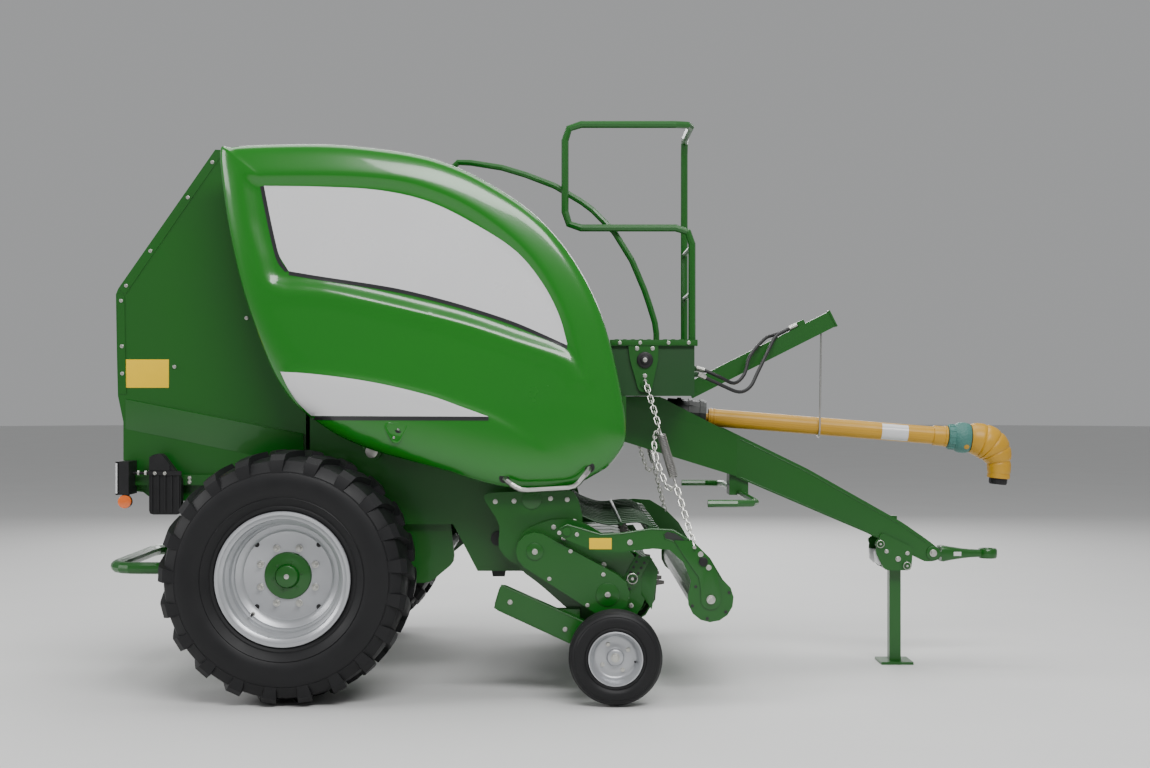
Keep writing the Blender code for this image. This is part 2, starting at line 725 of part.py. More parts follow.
# ------------------------------------------------------------------ side covers
def cover_outline():
    """Edge of the side cover, from its rear top corner round by the front."""
    corners = [
        (-0.345, 2.575), (-0.29, 2.60), (-0.118, 2.611), (0.160, 2.613), (0.389, 2.594), (0.602, 2.560),
        (0.750, 2.515), (0.896, 2.447), (1.090, 2.325), (1.235, 2.190), (1.356, 2.024), (1.452, 1.831),
        (1.512, 1.638), (1.554, 1.445), (1.576, 1.298), (1.567, 1.190), (1.500, 1.095), (1.427, 1.047),
        (1.337, 1.005), (1.171, 0.986), (1.005, 0.991), (0.858, 1.024), (0.744, 1.062), (0.602, 1.101),
        (0.389, 1.161), (0.228, 1.227), (0.103, 1.308), (-0.001, 1.395), (-0.094, 1.540),
        (-0.184, 1.767), (-0.255, 1.997), (-0.312, 2.274),
    ]
    return corners


def cover_rim_depth(x, z):
    """How far inboard the cover's rolled edge reaches: deep over the top and front."""
    deep = COVER_HINGE_Y + 0.020
    shallow = COVER_EDGE_Y - 0.06
    if z > 2.40:
        return deep if x > 0.0 else shallow      # the tailgate's rod passes behind X = 0
    if x > 1.45:
        return deep + (shallow - deep) * max(0.0, min(1.0, (1.35 - z) / 0.25))
    if x > 0.80 and z > 1.8:
        return deep
    return shallow


def cover_skin(side):
    """The pressed panel: rolled edge, shoulder and shallow bulge, given a thickness."""
    outline = cover_outline()
    middle = Vector((0.66, 1.80))
    rings = [None, (1.0, 0.0), (0.975, 0.50), (0.78, 0.88)]
    work = bmesh.new()
    rows = []
    for ring in rings:
        row = []
        for x, z in outline:
            if ring is None:
                row.append(work.verts.new((x, side * cover_rim_depth(x, z), z)))
                continue
            shrink, swell = ring
            place = middle + (Vector((x, z)) - middle) * shrink
            row.append(work.verts.new((place.x, side * (COVER_EDGE_Y + COVER_BULGE * swell), place.y)))
        rows.append(row)
    count = len(outline)
    for lower, upper in zip(rows, rows[1:]):
        for i in range(count):
            j = (i + 1) % count
            work.faces.new((lower[i], lower[j], upper[j], upper[i]))
    crown = work.verts.new((middle.x, side * (COVER_EDGE_Y + COVER_BULGE), middle.y))
    for i in range(count):
        work.faces.new((rows[-1][i], rows[-1][(i + 1) % count], crown))
    bmesh.ops.recalc_face_normals(work, faces=work.faces)
    outward = sum((face.normal.y * side for face in work.faces), 0.0)
    if outward < 0:
        bmesh.ops.reverse_faces(work, faces=work.faces)
    mesh = bpy.data.meshes.new("cover")
    work.to_mesh(mesh)
    work.free()
    skin = mesh_object(mesh)
    solid = skin.modifiers.new("thickness", "SOLIDIFY")
    solid.thickness = COVER_SKIN
    solid.offset = -1.0
    solid.use_even_offset = True
    return bake(skin)


def handle_path(side):
    """Middle line of the grab handle under the cover's front lower edge."""
    inner = side * (COVER_EDGE_Y + 0.012)
    outer = side * (COVER_EDGE_Y + 0.075)
    return [(1.000, inner, 1.035), (1.012, outer, 1.025), (1.082, outer, 0.978), (1.335, outer, 0.992),
            (1.400, outer, 1.072), (1.405, inner, 1.085)]


def build_covers():
    """Gull-wing side covers with their hinge knuckles and handles."""
    for side, tag in SIDES:
        body = pivot("side_cover_hinge_" + tag, (0.30, side * COVER_HINGE_Y, COVER_HINGE_Z))
        knuckles = []
        for x in (0.2325, 0.3675):
            barrel = rod((x - 0.05, side * COVER_HINGE_Y, COVER_HINGE_Z),
                         (x + 0.05, side * COVER_HINGE_Y, COVER_HINGE_Z), 0.011, 16)
            web = box((x - 0.05, side * (COVER_HINGE_Y + 0.006), COVER_HINGE_Z - 0.006),
                      (x + 0.05, side * (COVER_HINGE_Y + 0.05), COVER_HINGE_Z + 0.002))
            knuckles += [barrel, web]
        skin = combine(cover_skin(side), knuckles)
        socket = tube(handle_path(side), COVER_HANDLE_RADIUS + SEAT, 0.03)
        pin = rod((0.1, side * COVER_HINGE_Y, COVER_HINGE_Z), (0.5, side * COVER_HINGE_Y, COVER_HINGE_Z),
                  COVER_PIN + BORE_PLAY, 16)
        node("side_cover_" + tag, cut(skin, [pin, socket]), COVER_GREEN, body)
        node("cover_handle_" + tag, tube(handle_path(side), COVER_HANDLE_RADIUS, 0.03), STEEL, body)


# ------------------------------------------------------------------ drawbar group
def drawbar_bottom(x):
    """Height of the drawbar's straight lower edge."""
    (x0, z0), (x1, z1) = BAR_BOTTOM
    return z0 + (z1 - z0) * (x - x0) / (x1 - x0)


def drawbar_brace(side):
    """Flared plate from the headstock to the beam; the gearbox lies between the two."""
    rear_x = HEAD_X + 0.02
    front_x = 2.20
    rear_y = side * BRACE_REAR_Y
    front_y = side * (DRAWBAR_HALF - 0.001)
    thick = side * 0.025
    rear = [(rear_x, y, z) for y in (rear_y, rear_y - thick) for z in (HEAD_BOTTOM + 0.005, HEAD_TOP - 0.005)]
    front = [(front_x, y, z) for y in (front_y, front_y - thick)
             for z in (drawbar_bottom(front_x) + 0.005, 1.205)]
    middle = [(1.78, rear_y + (front_y - rear_y) * 0.44 - t, z) for t in (0, thick)
              for z in (1.14, HEAD_TOP - 0.005)]
    return hull(rear + front + middle)


def build_drawbar():
    """Cranked box beam on a wide headstock, cut through for the jack leg."""
    beam = slab(filleted([
        (2.10, 1.264), (2.569, 1.035), (3.067, 0.754), (3.214, 0.652), (HITCH_X + 0.036, 0.595),
        (HITCH_X + 0.020, 0.555), (3.199, 0.540), BAR_BOTTOM[1], (2.10, drawbar_bottom(2.10)),
    ], 0.03, 2), -DRAWBAR_HALF, DRAWBAR_HALF)
    head = box((HEAD_X, -HALF_OUT, HEAD_BOTTOM), (HEAD_X + HEAD_DEPTH, HALF_OUT, HEAD_TOP))
    body = combine(beam, [head] + [drawbar_brace(side) for side, _ in SIDES])
    play = JACK_HALF + 0.002
    passage = box((JACK_X - play, -play, 0.4), (JACK_X + play, play, 1.0))
    channel = rod(shaft_point(-0.1), shaft_point(0.6), SHAFT_RADIUS + 0.014, 16)
    node("drawbar", cut(body, [passage, slot_for_hitch(), channel]), GREEN)


def slot_for_hitch():
    """Slot in the drawbar's nose that takes the hitch plate."""
    half = 0.014 + SEAT
    return box((HITCH_X - 0.10, -0.062, HITCH_Z - half), (HITCH_X + 0.30, 0.062, HITCH_Z + half))


def build_hitch():
    """Flat plate in the drawbar's nose with the towing ring at its end."""
    ring_x = HITCH_X + HITCH_REACH
    plate = box((HITCH_X - 0.10 + SEAT, -0.06, HITCH_Z - 0.014), (HITCH_X + 0.12, 0.06, HITCH_Z + 0.014))
    neck = box((HITCH_X + 0.10, -0.03, HITCH_Z - 0.020), (ring_x - 0.03, 0.03, HITCH_Z + 0.020))
    ring = rod((ring_x, 0, HITCH_Z - HITCH_THICK / 2), (ring_x, 0, HITCH_Z + HITCH_THICK / 2), HITCH_RING, 24)
    eye = rod((ring_x, 0, HITCH_Z - 0.1), (ring_x, 0, HITCH_Z + 0.1), 0.024, 24)
    node("hitch_eye", cut(combine(plate, [neck, ring]), [eye]), GREEN)


def build_jack():
    """Parking jack: cheeks on the drawbar and a leg that slides up through it."""
    cheeks = []
    for side, _ in SIDES:
        outline = filleted([(JACK_X - 0.09, 0.70), (JACK_X + 0.08, 0.62), (JACK_X + 0.07, 0.50),
                            (JACK_X - 0.07, 0.50), (JACK_X - 0.12, 0.60)], 0.02)
        cheeks.append(side_slab(side, outline, DRAWBAR_HALF + SEAT, DRAWBAR_HALF + 0.012))
    block = box((JACK_X - 0.055, -DRAWBAR_HALF - 0.005, 0.50), (JACK_X + 0.055, DRAWBAR_HALF + 0.005, 0.555))
    play = JACK_HALF + BORE_PLAY
    passage = box((JACK_X - play, -play, 0.4), (JACK_X + play, play, 1.0))
    node("jack_housing", cut(combine(block, cheeks), [passage]), GREEN)
    body = pivot("jack_leg_slide", (JACK_X, 0, 0.53))
    leg = box((JACK_X - JACK_HALF, -JACK_HALF, 0.008), (JACK_X + JACK_HALF, JACK_HALF, JACK_TOP))
    foot = box((JACK_X - JACK_FOOT / 2, -0.09, 0.0), (JACK_X + JACK_FOOT / 2, 0.09, 0.014))
    lug = box((JACK_X - 0.012, -0.02, JACK_TOP - 0.01), (JACK_X + 0.012, 0.02, JACK_TOP + 0.045))
    node("jack_leg", combine(leg, [foot, lug]), GREEN, body)


# ------------------------------------------------------------------ drive shaft group
def shaft_point(distance, y=0.0, lift=0.0):
    """A point at a distance along the drive shaft's middle line."""
    return (SHAFT_X + distance * math.cos(SHAFT_ANGLE), y,
            SHAFT_Z + distance * math.sin(SHAFT_ANGLE) + lift)


def build_gearbox():
    """Gearbox on the headstock, with the ribbed bell over its output fork."""
    front = 1.84
    back = HEAD_X + HEAD_DEPTH + SEAT
    top = HEAD_TOP - 0.004
    case = slab(filleted([(back, 1.225), (front, 1.225), (front, 1.395), (1.78, top), (back, top)], 0.02),
                -0.135, 0.135)
    bell = rod(shaft_point(-0.20), shaft_point(0.004), 0.086, 14)
    ribs = [rod(shaft_point(-0.15 + 0.06 * i), shaft_point(-0.13 + 0.06 * i), 0.093, 14) for i in range(3)]
    bell = combine(bell, ribs)
    bell = cut(bell, [rod(shaft_point(-0.185), shaft_point(0.05), 0.074, 14)])
    fork = [box((front - 0.01, side * (FORK_INNER + 0.014), SHAFT_PIVOT[2] - 0.026),
                (SHAFT_PIVOT[0] + 0.022, side * (FORK_INNER + BORE_PLAY), SHAFT_PIVOT[2] + 0.026))
            for side, _ in SIDES]
    node("gearbox", combine(case, [bell] + fork), DARK)


def build_shaft():
    """Drive shaft that lifts off its hanger about the joint in the bell."""
    body = pivot("pto_shaft_pivot", SHAFT_PIVOT)
    knuckle = rod((SHAFT_PIVOT[0], -FORK_INNER, SHAFT_PIVOT[2]), (SHAFT_PIVOT[0], FORK_INNER, SHAFT_PIVOT[2]),
                  0.024, 20)
    neck = rod(shaft_point(SHAFT_PIVOT_BACK), shaft_point(0.05), 0.022, 16)
    outer = rod(shaft_point(0.022), shaft_point(SHAFT_LENGTH), SHAFT_RADIUS, 24)
    node("pto_shaft", combine(outer, [neck, knuckle]), YELLOW, body)
    collar_start = SHAFT_LENGTH + SEAT
    collar_end = SHAFT_LENGTH + COLLAR_LENGTH
    collar = combine(rod(shaft_point(collar_start), shaft_point(collar_end), 0.070, 24),
                     [rod(shaft_point(collar_start + 0.02), shaft_point(collar_end - 0.02), 0.082, 24)])
    node("pto_collar", collar, TEAL, body)
    start = Vector(shaft_point(collar_end + 0.01))
    knee = start + Vector((0.165, 0, -0.012))
    tip = start + Vector((0.145, 0, -0.200))
    path = [shaft_point(collar_end + SEAT)]
    radii = [0.073]
    for i in range(GUARD_RINGS + 1):
        t = i / GUARD_RINGS
        path.append(tuple(start.lerp(knee, t).lerp(knee.lerp(tip, t), t)))
        swell = 0.078 + 0.020 * math.sin(math.pi * min(1.0, t * 1.25)) - 0.022 * t
        radii.append(swell + (0.005 if i % 2 else -0.005))
    guard = curved_cone(path, radii)
    down = (Vector(path[-1]) - Vector(path[-2])).normalized()
    end = Vector(path[-1])
    mouth = rod(end - down * 0.02, end + down * 0.045, 0.047, 20)
    node("pto_end_guard", combine(guard, [mouth]), YELLOW, body)


def curved_cone(path, radii):
    """A tube along a path with its own radius at each point."""
    curve = bpy.data.curves.new("cone", "CURVE")
    curve.dimensions = "3D"
    curve.bevel_depth = 1.0
    curve.bevel_resolution = 4
    curve.use_fill_caps = True
    spline = curve.splines.new("POLY")
    spline.points.add(len(path) - 1)
    for point, place, radius in zip(spline.points, path, radii):
        point.co = (*place, 1.0)
        point.radius = radius
    return bake(bpy.data.objects.new("cone", curve))


# ------------------------------------------------------------------ front equipment
def arm_point(share, lift=0.0):
    """A point along the hose arm, lifted square to it."""
    foot = Vector(ARM_FOOT)
    along = Vector(ARM_TIP) - foot
    square = Vector((-along.y, along.x)).normalized()
    place = foot + along * share + square * lift
    return place.x, place.y


def build_front():
    """Net box, platform, rails, hose arm with its hoses, shaft hanger and guard bar."""
    net_low = HEAD_TOP + SEAT
    deck = 0.03
    net_front = PLATFORM_FRONT - 0.014
    net = box((HEAD_X + 0.005, -PLATFORM_SIDE + 0.02, net_low),
              (net_front, PLATFORM_SIDE - 0.02, PLATFORM_Z - deck - SEAT))
    opening = box((1.62, -PLATFORM_SIDE + 0.035, net_low + 0.02),
                  (net_front + 0.1, PLATFORM_SIDE - 0.035, PLATFORM_Z - deck - 0.02))
    rear_hollow = box((HEAD_X + 0.02, -PLATFORM_SIDE + 0.035, net_low + 0.02),
                      (1.64, PLATFORM_SIDE - 0.035, PLATFORM_Z - deck - 0.02))
    post = box((net_front - 0.012, -0.48, net_low + 0.001),
               (net_front, ARM_Y + 0.07, PLATFORM_Z - deck - 0.001))
    net = combine(cut(net, [opening, rear_hollow]), [post] + [hose_gland(route) for route in hose_routes()])
    node("net_box", net, DARK)
    deck_plate = box((PLATFORM_REAR, -PLATFORM_SIDE, PLATFORM_Z - deck),
                     (PLATFORM_FRONT, PLATFORM_SIDE, PLATFORM_Z))
    bracket = filleted([(1.60, PLATFORM_Z - 0.01), (1.75, PLATFORM_Z - 0.01), (1.75, 1.60),
                        (1.715, 1.44), (1.655, 1.44), (1.61, 1.60)], 0.02)
    brackets = [side_slab(side, bracket, PLATFORM_SIDE - 0.018, PLATFORM_SIDE - 0.003)
                for side, _ in SIDES]
    node("platform", combine(deck_plate, brackets), GREEN)
    foot = PLATFORM_Z + SEAT
    rail = tube([(RAIL_X, -RAIL_Y, foot), (RAIL_X, -RAIL_Y, RAIL_LOW), (RAIL_BACK, -RAIL_Y, RAIL_LOW),
                 (RAIL_BACK, -RAIL_Y, RAIL_TOP), (RAIL_X, -RAIL_Y, RAIL_TOP),
                 (RAIL_X, -RAIL_FAR_Y, RAIL_TOP), (RAIL_X, -RAIL_FAR_Y, foot)], RAIL_RADIUS, 0.08)
    rungs = [tube([(RAIL_X, -RAIL_Y, z), (RAIL_X, -RAIL_FAR_Y, z)], 0.012) for z in (1.93, 2.16)]
    node("handrail", combine(rail, rungs), GREEN)
    guide = tube([(GUIDE_X, -GUIDE_Y, sheet_top(GUIDE_X - GUIDE_RADIUS) + SEAT), (GUIDE_X, -GUIDE_Y, 2.585),
                  (0.90, -GUIDE_Y, 2.580), (1.166, -GUIDE_Y, 2.500), (1.315, -GUIDE_Y, 2.430),
                  (1.488, -GUIDE_Y, 2.300), (1.586, -GUIDE_Y, 2.167), (1.661, -GUIDE_Y, 2.019),
                  (1.720, -GUIDE_Y, 1.846), (1.745, -GUIDE_Y, foot + 0.06), (1.745, -GUIDE_Y, foot)],
                 GUIDE_RADIUS, 0.08, bend_steps=1)
    node("guide_rail", guide, GREEN)
    build_arm(net_front)
    build_hoses()
    build_guard_bar()


def build_arm(net_front):
    """Arm that carries the hoses and the drive shaft's hanger wire."""
    half = ARM_HEIGHT / 2
    beam = slab([arm_point(-0.06, -half), arm_point(1.0, -half), arm_point(1.0, half),
                 arm_point(-0.06, half)], ARM_Y - ARM_HALF, ARM_Y + ARM_HALF)
    plate = box((net_front + SEAT, ARM_Y - 0.06, 1.425), (net_front + 0.018, ARM_Y + 0.06, 1.60))
    tip = slab([arm_point(1.0, -half - 0.004), arm_point(1.012, -half - 0.004),
                arm_point(1.012, half + 0.004), arm_point(1.0, half + 0.004)],
               ARM_Y - ARM_HALF - 0.004, ARM_Y + ARM_HALF + 0.004)
    keep = box((net_front + SEAT, -1, 1.0), (4, 1, 3))
    low = ARM_HEIGHT / 2 - 0.002
    high = ARM_HEIGHT / 2 + 2.6 * HOSE_RADIUS
    begin = GLAND_SHARE + SEAT / math.hypot(ARM_TIP[0] - ARM_FOOT[0], ARM_TIP[1] - ARM_FOOT[1])
    gland = slab([arm_point(begin, low), arm_point(begin + 0.05, low), arm_point(begin + 0.05, high),
                  arm_point(begin, high)], ARM_Y - 0.024, ARM_Y + 0.024)
    beam = combine(beam, [plate, tip, gland])
    beam = combine(beam, [keep], "INTERSECT")
    hole = rod((HANGER_X, ARM_Y, 1.5), (HANGER_X, ARM_Y, ARM_UNDERSIDE + 0.03), HANGER_WIRE + SEAT, 12)
    node("hose_arm", cut(beam, [hole]), GREEN)
    centre = SHAFT_Z + (HANGER_X - SHAFT_X) * SHAFT_SLOPE
    hook = SHAFT_RADIUS + HANGER_WIRE + 0.006
    path = [(HANGER_X, ARM_Y, ARM_UNDERSIDE + 0.029), (HANGER_X, ARM_Y, ARM_UNDERSIDE - 0.05),
            (HANGER_X, -hook - 0.012, centre + 0.10)]
    for degrees in range(180, 361, 20):
        angle = math.radians(degrees)
        path.append((HANGER_X, hook * math.cos(angle), centre + hook * math.sin(angle)))
    path.append((HANGER_X, hook + 0.004, centre + 0.03))
    node("shaft_hanger", tube(path, HANGER_WIRE, sides=8), STEEL)


def smooth(points, spacing):
    """Evenly spaced points on a smooth curve through a hose's route."""
    knots = [Vector(point) for point in points]
    knots = [knots[0] * 2 - knots[1]] + knots + [knots[-1] * 2 - knots[-2]]
    fine = []
    for a, b, c, d in zip(knots, knots[1:], knots[2:], knots[3:]):
        for i in range(16):
            t = i / 16
            fine.append(0.5 * (2 * b + (c - a) * t + (2 * a - 5 * b + 4 * c - d) * t * t
                               + (3 * b - 3 * c + d - a) * t * t * t))
    fine.append(knots[-2])
    total = sum((q - p).length for p, q in zip(fine, fine[1:]))
    count = max(2, round(total / spacing))
    even = [tuple(fine[0])]
    walked = 0.0
    for p, q in zip(fine, fine[1:]):
        step = (q - p).length
        while len(even) < count and walked + step >= total * len(even) / count:
            even.append(tuple(p.lerp(q, (total * len(even) / count - walked) / step)))
        walked += step
    even.append(tuple(fine[-1]))
    return even


def hose_routes():
    """Routes of the two hoses, from the net box over to the top of the arm."""
    start_x = PLATFORM_FRONT - 0.014 + GLAND_LENGTH + SEAT
    return [
        [(start_x, -0.45, 1.530), (2.047, -0.428, 1.491), (2.094, -0.415, 1.470), (2.175, -0.390, 1.440),
         (2.237, -0.348, 1.466), (2.285, -0.286, 1.544), (2.356, -0.190, 1.667), (2.393, -0.143, 1.727),
         hose_on_arm(0.68, -0.012), hose_on_arm(GLAND_SHARE, -0.012)],
        [(start_x, -0.37, 1.560), (2.010, -0.380, 1.546), (2.084, -0.372, 1.514), (2.160, -0.305, 1.485),
         (2.219, -0.244, 1.531), (2.254, -0.200, 1.627), (2.336, -0.144, 1.717), (2.386, -0.111, 1.738),
         hose_on_arm(0.67, 0.012), hose_on_arm(GLAND_SHARE, 0.012)],
    ]


def hose_on_arm(share, aside):
    """Middle of a hose that lies along the arm's top."""
    x, z = arm_point(share, ARM_HEIGHT / 2 + HOSE_RADIUS + HOSE_LAY)
    return x, ARM_Y + aside, z


def hose_gland(route):
    """Fitting on the net box's face from which a hose leaves."""
    x, y, z = route[0]
    return rod((x - SEAT - GLAND_LENGTH - 0.004, y, z), (x - SEAT, y, z), 0.014, 10)


def build_hoses():
    """The hoses themselves, plain tubes along their routes."""
    for number, route in enumerate(hose_routes(), start=1):
        path = smooth(route, 0.045)
        x, y, z = route[0]
        path.insert(1, (x + 0.012, y, z))
        x, y, z = route[-1]
        along = (Vector(ARM_TIP) - Vector(ARM_FOOT)).normalized() * 0.012
        path.insert(-1, (x - along.x, y, z - along.y))
        node("hydraulic_hose_%d" % number, tube(path, HOSE_RADIUS), BLACK)


def build_guard_bar():
    """Bent bar across the machine ahead of the crop roller, held under the drawbar."""
    cross = tube([(BAR_X - 0.24, -BAR_Y, BAR_Z), (BAR_X, -BAR_Y, BAR_Z), (BAR_X, BAR_Y, BAR_Z),
                  (BAR_X - 0.24, BAR_Y, BAR_Z)], RAIL_RADIUS, 0.10)
    lift = 0.0006
    rear = BAR_X - 0.055
    front = BAR_X + 0.045
    bracket = slab([(rear, drawbar_bottom(rear) - lift), (rear, BAR_Z - 0.01), (front, BAR_Z - 0.01),
                    (front, drawbar_bottom(front) - lift)], -0.07, 0.07)
    node("guard_bar", combine(cross, [bracket]), GREEN)


# ------------------------------------------------------------------ pickup
def build_carrier():
    """Towers outside the walls, on one tube through them, that carry the pickup."""
    outline = filleted([(0.88, 0.955), (1.34, 0.975), (1.385, 0.80), (1.24, 0.62), (1.06, 0.60),
                        (0.96, 0.69), (0.985, 0.80)], 0.05)
    outer = TOWER_Y + TOWER_PLATE
    towers = [side_slab(side, outline, TOWER_Y, outer) for side, _ in SIDES]
    tie = rod((CARRIER_X, -TOWER_Y - 0.01, CARRIER_Z), (CARRIER_X, TOWER_Y + 0.01, CARRIER_Z),
              CARRIER_RADIUS, 20)
    pins = [rod((PIVOT_X, side * (TOWER_Y + 0.005), PIVOT_Z),
                (PIVOT_X, side * (outer + RUNNING + PICKUP_PLATE - 0.001), PIVOT_Z), PIVOT_PIN, 24)
            for side, _ in SIDES]
    node("pickup_carrier", combine(tie, towers + pins), GREEN)


def band_positions():
    """Middles of the stripper bands and of the gaps between them."""
    pitch = 2 * BAND_SPAN / BAND_COUNT
    bands = [-BAND_SPAN + pitch * (i + 0.5) for i in range(BAND_COUNT)]
    gaps = [-BAND_SPAN + pitch * (i + 1) for i in range(BAND_COUNT - 1)]
    return pitch, bands, gaps


def band_run():
    """Side view of a stripper band: from the rear beam over the reel and under it."""
    return ([(BEAM_X - 0.012, BEAM_Z + 0.02), (BEAM_X + 0.015, BEAM_Z + 0.075),
             (1.40, REEL_Z + BAND_RADIUS - 0.005)]
            + arc((REEL_X, REEL_Z), BAND_RADIUS, 90, -100, 7) + [(1.40, REEL_Z - BAND_RADIUS + 0.03)])


def build_pickup():
    """Pickup frame on its pivots, the tined reel, gauge wheels and the crop guard."""
    pivot_place = (PIVOT_X, 0, PIVOT_Z)
    body = pivot("pickup_pivot", pivot_place)
    inner = TOWER_Y + TOWER_PLATE + RUNNING
    outer = inner + PICKUP_PLATE
    plate_outline = filleted([(1.06, 0.60), (1.07, 0.77), (1.22, 0.835), (1.36, 0.83), (1.62, 0.67),
                              (1.69, 0.50), (1.64, 0.37), (1.42, 0.30), (1.16, 0.53)], 0.05)
    holes = [circle((PIVOT_X, PIVOT_Z), PIVOT_PIN + BORE_PLAY, 24),
             circle((REEL_X, REEL_Z), REEL_SHAFT + BORE_PLAY, 20)]
    plates = [side_slab(side, plate_outline, inner, outer, holes) for side, _ in SIDES]
    beam = rod((BEAM_X, -outer + 0.005, BEAM_Z), (BEAM_X, outer - 0.005, BEAM_Z), 0.032, 16)
    pitch, bands, _ = band_positions()
    run = strip(band_run(), 0.008)
    parts = [beam, plates[1]]
    for y in bands:
        parts.append(slab(run, y - pitch / 2 + TINE_GAP / 2, y + pitch / 2 - TINE_GAP / 2))
    for side, _ in SIDES:
        parts += gauge_arm(side, outer)
        parts.append(rod((GUARD_X, side * (outer - 0.005), GUARD_Z),
                         (GUARD_X, side * (GUARD_PLATE_Y + 0.024), GUARD_Z), GUARD_PIN, 20))
    capsule = arc((PIVOT_X, PIVOT_Z), 0.09, 65, 235, 6) + arc((1.49, 0.485), 0.105, 235, 425, 6)
    hollow = arc((PIVOT_X, PIVOT_Z), 0.082, 65, 235, 6) + arc((1.49, 0.485), 0.097, 235, 425, 6)
    drive = cut(side_slab(-1, capsule, outer - 0.002, DRIVE_OUT),
                [side_slab(-1, hollow, outer - 0.02, DRIVE_OUT - 0.008)])
    node("pickup_frame", combine(plates[0], parts + [drive]), GREEN, body)
    build_reel(body, outer)
    build_gauge_wheels(body)
    build_crop_guard(body)


def gauge_arm(side, outer):
    """Channel arm that carries one gauge wheel, with its stub axle."""
    outline = filleted([(0.985, 0.535), (1.37, 0.365), (1.56, 0.275), (1.575, 0.20), (1.48, 0.175),
                        (1.33, 0.245), (0.95, 0.42)], 0.025)
    arm = side_slab(side, outline, DRIVE_OUT - 0.05, DRIVE_OUT)
    spacer = box((1.22, side * (outer - 0.005), 0.37), (1.36, side * (DRIVE_OUT - 0.045), 0.41))
    stub = rod((GAUGE_X, side * (DRIVE_OUT - 0.02), GAUGE_Z),
               (GAUGE_X, side * (GAUGE_Y + 0.025), GAUGE_Z), GAUGE_STUB, 20)
    return [arm, spacer, stub]


def star(centre, radius, arms, root, width):
    """Outline of a ring of straight teeth round a hub."""
    points = []
    for i in range(arms):
        angle = 2 * math.pi * i / arms
        for turn, reach in ((-0.5, root), (-0.5 * width / radius, radius), (0.5 * width / radius, radius)):
            swing = angle + (turn * 2 * math.pi / arms if reach == root else turn)
            points.append((centre[0] + reach * math.cos(swing), centre[1] + reach * math.sin(swing)))
    return points


def build_reel(parent, outer):
    """Reel shaft with a ring of tines in every gap between the bands."""
    body = pivot("pickup_reel_axis", (REEL_X, 0, REEL_Z), parent)
    shaft = rod((REEL_X, -outer - 0.004, REEL_Z), (REEL_X, outer + 0.004, REEL_Z), REEL_SHAFT, 20)
    _, _, gaps = band_positions()
    reach = BAND_SPAN - 0.02
    drum = rod((REEL_X, -reach, REEL_Z), (REEL_X, reach, REEL_Z), 0.07, 16)
    stars = [slab(star((REEL_X, REEL_Z), TINE_RADIUS, 5, 0.065, 0.016), y - 0.005, y + 0.005) for y in gaps]
    node("pickup_reel", combine(shaft, [drum] + stars), STEEL, body)


def build_gauge_wheels(parent):
    """Small wheels that set the pickup's height."""
    half = GAUGE_WIDTH / 2
    bead = half - 0.046 * GAUGE_WIDTH / 0.5 + SEAT
    lip = bead + 0.004
    bore = GAUGE_STUB + BORE_PLAY
    flange = GAUGE_RIM + 0.007
    for side, tag in SIDES:
        centre = (GAUGE_X, side * GAUGE_Y, GAUGE_Z)
        body = pivot("gauge_wheel_" + tag, centre, parent)
        rubber = tyre(centre, side, GAUGE_RADIUS, GAUGE_WIDTH, GAUGE_RIM, flange, 0.016, GAUGE_STEPS)
        node("gauge_tyre_" + tag, rubber, TYRE_BLACK, body)
        mouth = GAUGE_RIM - 0.003
        profile = [
            (flange, lip), (flange, bead), (GAUGE_RIM, bead), (GAUGE_RIM, -bead), (flange, -bead),
            (flange, -lip), (mouth, -lip), (0.106, -0.008), (0.04, -0.008), (0.03, -0.055),
            (bore, -0.055), (bore, 0.030), (0.040, 0.030), (0.045, 0.006), (0.106, 0.006), (mouth, lip),
        ]
        node("gauge_rim_" + tag, turned(profile, centre, side, GAUGE_STEPS), SILVER, body)


def build_crop_guard(parent):
    """Swinging arms with a tie tube, and the roller that levels the crop."""
    body = pivot("crop_guard_pivot", (GUARD_X, 0, GUARD_Z), parent)
    end = (CROP_ROLLER_X, CROP_ROLLER_Z)
    outline = [(1.262, 0.800), (1.30, 0.822), (1.458, 0.775), (1.553, 0.780), (1.6975, 0.802),
               (1.797, 0.796), (1.891, 0.7395), (1.971, 0.660), (2.030, 0.560)]
    outline += arc(end, 0.108, 30, -190, 9)
    outline += [(1.880, 0.555), (1.845, 0.640), (1.78, 0.700), (1.70, 0.705), (1.55, 0.690),
                (1.43, 0.695), (1.30, 0.745), (1.265, 0.765)]
    holes = [circle((GUARD_X, GUARD_Z), GUARD_PIN + BORE_PLAY, 20),
             circle(end, ROLLER_STUB + BORE_PLAY, 16)]
    plates = [side_slab(side, outline, GUARD_PLATE_Y, GUARD_PLATE_Y + 0.014, holes) for side, _ in SIDES]
    tie = rod((1.72, -GUARD_PLATE_Y - 0.004, 0.752), (1.72, GUARD_PLATE_Y + 0.004, 0.752), 0.03, 16)
    node("crop_guard", combine(tie, plates), GREEN, body)
    roller_body = pivot("crop_roller_axis", (end[0], 0, end[1]), body)
    reach = GUARD_PLATE_Y - 0.010
    roller = rod((end[0], -reach, end[1]), (end[0], reach, end[1]), CROP_ROLLER_RADIUS, 24)
    stub = rod((end[0], -GUARD_PLATE_Y - 0.026, end[1]), (end[0], GUARD_PLATE_Y + 0.026, end[1]),
               ROLLER_STUB, 16)
    node("crop_roller", combine(roller, [stub]), GREEN, roller_body)


